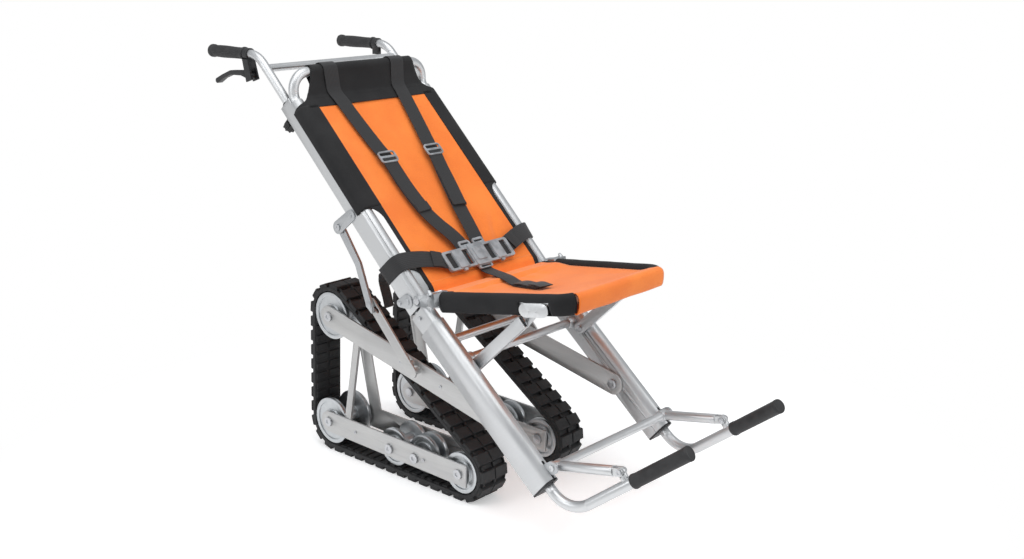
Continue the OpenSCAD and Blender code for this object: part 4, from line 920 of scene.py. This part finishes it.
def webbing(name, points, width, across=Vector((1, 0, 0)), thick=2.2, body="frame"):
    """A strap through points; across holds the direction of its width at each of them, or one for all."""
    run = smooth_run(points, 6)
    lie = smooth_run(across if isinstance(across, list) else [across] * len(points), 6)
    half = width / 2
    top = [(-half, 0), (-half + 0.5, 0.42), (-half + 1.6, 0.5), (0, 0.5), (half - 1.6, 0.5), (half - 0.5, 0.42)]
    outline = top + [(-x, -y) for x, y in top]
    size = len(outline)
    verts, faces, far = [], [], [0.0]
    for i, point in enumerate(run):
        ahead = (run[min(i + 1, len(run) - 1)] - run[max(i - 1, 0)]).normalized()
        side = lie[i] - ahead * lie[i].dot(ahead)
        side.normalize()
        up = ahead.cross(side)
        verts += [point + (side * a + up * b * thick) * mm for a, b in outline]
        if i:
            far.append(far[-1] + (point - run[i - 1]).length)
    for i in range(len(run) - 1):
        for j in range(size):
            a, b = i * size + j, i * size + (j + 1) % size
            faces.append((a, b, b + size, a + size))
    faces += [tuple(range(size))[::-1], tuple(len(verts) - size + j for j in range(size))]
    piece = new_piece(name, verts, faces, body)
    cut = piece.data.uv_layers.new(name="cut")
    for loop in piece.data.loops:
        i, j = divmod(loop.vertex_index, size)
        cut.data[loop.index].uv = (outline[j][0] * mm, far[i])
    round_off(piece, 50)
    return piece


# Strap cloth: fine ribs across and a herringbone along, shinier than the panels.
strap_cloth = Finish("strap_cloth", Specular_IOR_Level=0.35, Sheen_Weight=0.2, Sheen_Roughness=0.4)
strap_cut = strap_cloth.made("TexCoord", {}, {}, "UV")
ribs, lines = (strap_cloth.made(
    "Math", {"operation": "SINE"}, {0: strap_cloth.axis(strap_cut, way) * (2 * pi / (gap * mm))})
    for way, gap in ((1, 1.5), (0, 4.4)))
strap_slub = strap_cloth.grain(strap_cloth.place(), 300, 3, 0.6)
strap_shade = strap_cloth.step(strap_slub * 0.6 + lines * 0.25 + ribs * 0.1, 0.15, 0.6)
strap_cloth.coat(
    colour=strap_cloth.mix(strap_shade, (0.016, 0.016, 0.017), (0.03, 0.03, 0.032)),
    rough=strap_cloth.step(strap_slub, 0.3, 0.7, 0.52, 0.68),
    height=ribs * 0.4 + lines * 0.5 + strap_slub, depth=0.16, strength=0.6)

# Each strap's run below its adjuster, and its doubled tab, as (x, s, n over the strap's plane).
strap_wide, strap_n, over_loop = 44, 36.5, 19
low_runs = {
    "right": [(78, 402, 1), (77, 372, 3.5), (76, 330, 1), (74, 290, 1), (71, 250, 2), (66, 215, 5), (56, 180, 8),
              (44, 152, 10), (35, 128, 10), (27, 104, 7), (22, 92, 4)],
    "left": [(78, 402, 1), (75, 372, 3.5), (68, 330, 1), (60, 290, 1), (52, 250, 1.5), (44, 210, 3), (37, 170, 5),
             (30, 130, 6), (25, 104, 5), (22, 92, 3)]}
tabs = {"right": [(78, 392, 3.5), (76.5, 340, 1.6), (75, 290, 1.8), (70, 225, 4.5)],
        "left": [(78, 392, 3.5), (70, 340, 1.6), (62, 290, 1.8), (47, 222, 4.5)]}
for side, sign in sides:
    def strap_run(knots, lift=0.0):
        return [on_back(sign * x, s, strap_n + lift + n) for x, s, n in knots]
    head = [Vector((sign * 112, 432.83, 891)) * mm]
    for x, turn in ((112, -8), (112, 22), (112, 55), (112, 90), (112, 125), (111, 160)):
        turn = radians(turn)
        head.append((loop_centre + Vector((sign * x, over_loop * cos(turn), over_loop * sin(turn)))) * mm)
    head += [Vector((sign * x, y, z)) * mm for x, y, z in ((109, 393.2, 944), (107, 388.5, 916))]
    head += strap_run([(103, 575, 1), (98, 530, 0), (90, 470, -1), (84, 430, -1.5), (78, 396, -1)])
    upper = webbing(side + "_shoulder_strap", head, strap_wide)
    lower = webbing(side + "_shoulder_strap_low", strap_run(low_runs[side], -2.5), strap_wide)
    tab = webbing(side + "_strap_tab", strap_run(tabs[side]), strap_wide - 1)
    end_x, end_s = tabs[side][-1][:2]
    hem_run = [(end_x + 1.2, end_s + 24, 3.6), (end_x + 0.6, end_s + 12, 3.9), (end_x, end_s, 4.4)]
    hem = webbing(side + "_tab_hem", strap_run(hem_run, 2.2), strap_wide - 1.4, thick=2.0)
    strap_cloth.on(upper, lower, tab, hem)
    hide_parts("shoulder_straps")

# --------------------------------------------------
# Waist belt: wraps round each backrest profile and comes forward to the
# buckle, with a doubled, stitched end beside it.
# --------------------------------------------------
for side, sign in sides:
    wrap = [(196, -26, 121), (195.5, -30, 120), (199, -32.6, 119), (214, -33.2, 118), (229, -32.4, 117),
            (232.6, -27, 116), (232.9, -8, 115), (232.7, 12, 114), (229, 26, 113), (220, 34, 112), (207, 38.5, 110),
            (184, 42.5, 105), (160, 44.5, 99), (134, 44.6, 91), (112, 43.4, 84), (92, 42.6, 79), (60, 42.6, 77),
            (34, 42.4, 76)]
    turning = [Vector((sign * 0.12 * min(1, i / 9), half_turn, half_turn)) for i in range(len(wrap))]
    belt = webbing(side + "_waist_belt", [on_back(sign * x, s, n) for x, n, s in wrap], strap_wide, turning)
    end_run = [on_back(sign * x, s, n + 2.4) for x, n, s in ((146, 45.4, 95), (134, 46.2, 90.5), (118, 45.6, 85))]
    end = webbing(side + "_belt_end", end_run, strap_wide - 1, turning[-1], 2.4)
    strap_cloth.on(belt, end)
    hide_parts("waist_belt")

# The belt's spare end hangs behind the right profile, inboard of the link, with a hem at its tip.
spare_run = [(-192, 94, 521), (-180, 124, 521), (-169, 158, 508), (-167, 166, 490), (-167, 161, 470),
             (-167, 153, 447), (-167, 147, 424)]
spare_hem_run = [(-167, 152.4, 444), (-167, 148.4, 433), (-167, 145, 423.5)]
spare_across = Vector((0.98, 0.2, 0))
spare = webbing("belt_spare_end", [Vector(p) * mm for p in spare_run], 36, spare_across)
spare_hem = webbing("belt_spare_hem", [Vector(p) * mm for p in spare_hem_run], 35, spare_across, 2.0)
strap_cloth.on(spare, spare_hem)

# --------------------------------------------------
# Buckle: grey moulded nylon. A centre plate takes the two shoulder straps in
# its lugs, and a two-slot frame on each side takes the waist belt.
# --------------------------------------------------
grey_nylon = moulded("grey_nylon", (0.21, 0.225, 0.24), 0.4)


def flat_moulding(name, outline, holes, base, thick, to_frame, edge=1.2):
    """A plate with holes, drawn flat in mm and raised from base by thick, its edges rounded by the mould."""
    mesh = bmesh.new()
    loops = []
    for ring in [outline] + holes:
        verts = [mesh.verts.new((x, y, 0)) for x, y in ring]
        loops += [mesh.edges.new((verts[i], verts[(i + 1) % len(verts)])) for i in range(len(verts))]
    bmesh.ops.triangle_fill(mesh, use_beauty=True, use_dissolve=True, edges=loops)
    raised = bmesh.ops.extrude_face_region(mesh, geom=mesh.faces[:])
    for vert in (v for v in raised["geom"] if isinstance(v, bmesh.types.BMVert)):
        vert.co.z = thick
    bmesh.ops.recalc_face_normals(mesh, faces=mesh.faces[:])
    made = bpy.data.meshes.new(name)
    mesh.to_mesh(made)
    mesh.free()
    for vert in made.vertices:
        vert.co = to_frame(vert.co.x, vert.co.y, base + vert.co.z)
    piece = placed(name, made, "frame")
    rounded_edges(piece, edge, 3, 40)
    round_off(piece, 40)
    return piece


def rounded(x0, y0, x1, y1, r):
    """A rectangle with round corners."""
    ring, steps = [], 5
    for cx, cy, start in ((x1 - r, y1 - r, 0), (x0 + r, y1 - r, 90), (x0 + r, y0 + r, 180), (x1 - r, y0 + r, 270)):
        for k in range(steps + 1):
            turn = radians(start + 90 * k / steps)
            ring.append((cx + r * cos(turn), cy + r * sin(turn)))
    return ring


buckle_s, buckle_n = 76.0, 41.0


def on_buckle(x, y, n):
    return on_back(x, buckle_s + y, buckle_n + n)


# Each moulding: its outline, its holes, where it starts over the belt and how thick it is.
lug = [(4, 24), (37, 24), (42, 28), (42, 42), (38, 45), (10, 45), (5, 40)]
side_mouldings = {
    "frame": (rounded(20, -27, 112, 27, 7), [rounded(29, -21, 49, 21, 3), rounded(82, -21, 102, 21, 3)], 0, 7.5),
    "bridge": (rounded(50, -25, 81, 25, 4), [], 5.0, 4.8),
    "catch": (rounded(59, -33, 71, -24, 4), [], 0.5, 7.0),
    "lug": (lug, [rounded(10, 34, 37, 38.5, 1.8)], 1.5, 5.0)}
parts = []
for side, sign in sides:
    def mirrored(x, y, n):
        return on_buckle(sign * x, y, n)
    for part, shape in side_mouldings.items():
        parts.append(flat_moulding(side + "_buckle_" + part, *shape, mirrored))
parts.append(flat_moulding("buckle_centre", rounded(-25, -30, 25, 30, 6), [], -1, 11.5, on_buckle, 1.8))
parts.append(flat_moulding("buckle_button", rounded(-16, -17, 16, 19, 4.5), [], 9.5, 3.0, on_buckle, 1.0))
parts.append(flat_moulding("buckle_foot_lug", rounded(-22, -39, 22, -26, 4), [rounded(-17, -36, 17, -31.5, 1.8)],
                           1, 5.5, on_buckle))
grey_nylon.on(*parts)
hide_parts("harness_buckle")

# The shoulder straps' adjusters: three-bar slides of the same nylon.
slide_x, slide_s = 77.5, 392
slots = [rounded(-22.5, -12, 22.5, -3.2, 2.5), rounded(-22.5, 3.2, 22.5, 12, 2.5)]
for side, sign in sides:
    def on_slide(x, y, n):
        return on_back(sign * (slide_x + x), slide_s + y, strap_n + 0.6 + n)
    slide = flat_moulding(side + "_strap_adjuster", rounded(-27.5, -17, 27.5, 17, 9), slots, 1.6, 4.4, on_slide, 1.3)
    grey_nylon.on(slide)
    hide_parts("strap_adjusters")

# --------------------------------------------------
# Crotch strap: narrower webbing from the foot of the buckle, laid forward on
# the seat, its spare end folded back on itself twice.
# --------------------------------------------------
crotch_wide = 38


def on_cloth(*knots):
    """Places on the seat's cloth, each given as (x, d, height over it)."""
    return [on_seat(x, d, cloth_height(x, d) + lift) for x, d, lift in knots]


crotch_run = [on_back(0, buckle_s - 32, buckle_n + 4), on_back(-1, buckle_s - 43, buckle_n + 1)]
crotch_run += on_cloth((-2, 48, 15), (-4, 74, 10), (-9, 108, 6), (-17, 150, 4.2), (-27, 196, 3.4))
crotch = webbing("crotch_strap_low", crotch_run, crotch_wide, body=None)
second = webbing("crotch_strap_fold", on_cloth((-9, 112, 9.5), (-13, 132, 10.6), (-19, 160, 8.6), (-26, 188, 7.0),
                                               (-30, 206, 5.6)), crotch_wide - 0.6, body="seat_frame")
third = webbing("crotch_strap_end", on_cloth((-22, 172, 12.0), (-27, 192, 12.4), (-33, 217, 8.8)), crotch_wide - 1,
                body="seat_frame")
strap_cloth.on(crotch, second, third)
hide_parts("crotch_strap")
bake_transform(crotch)

low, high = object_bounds()
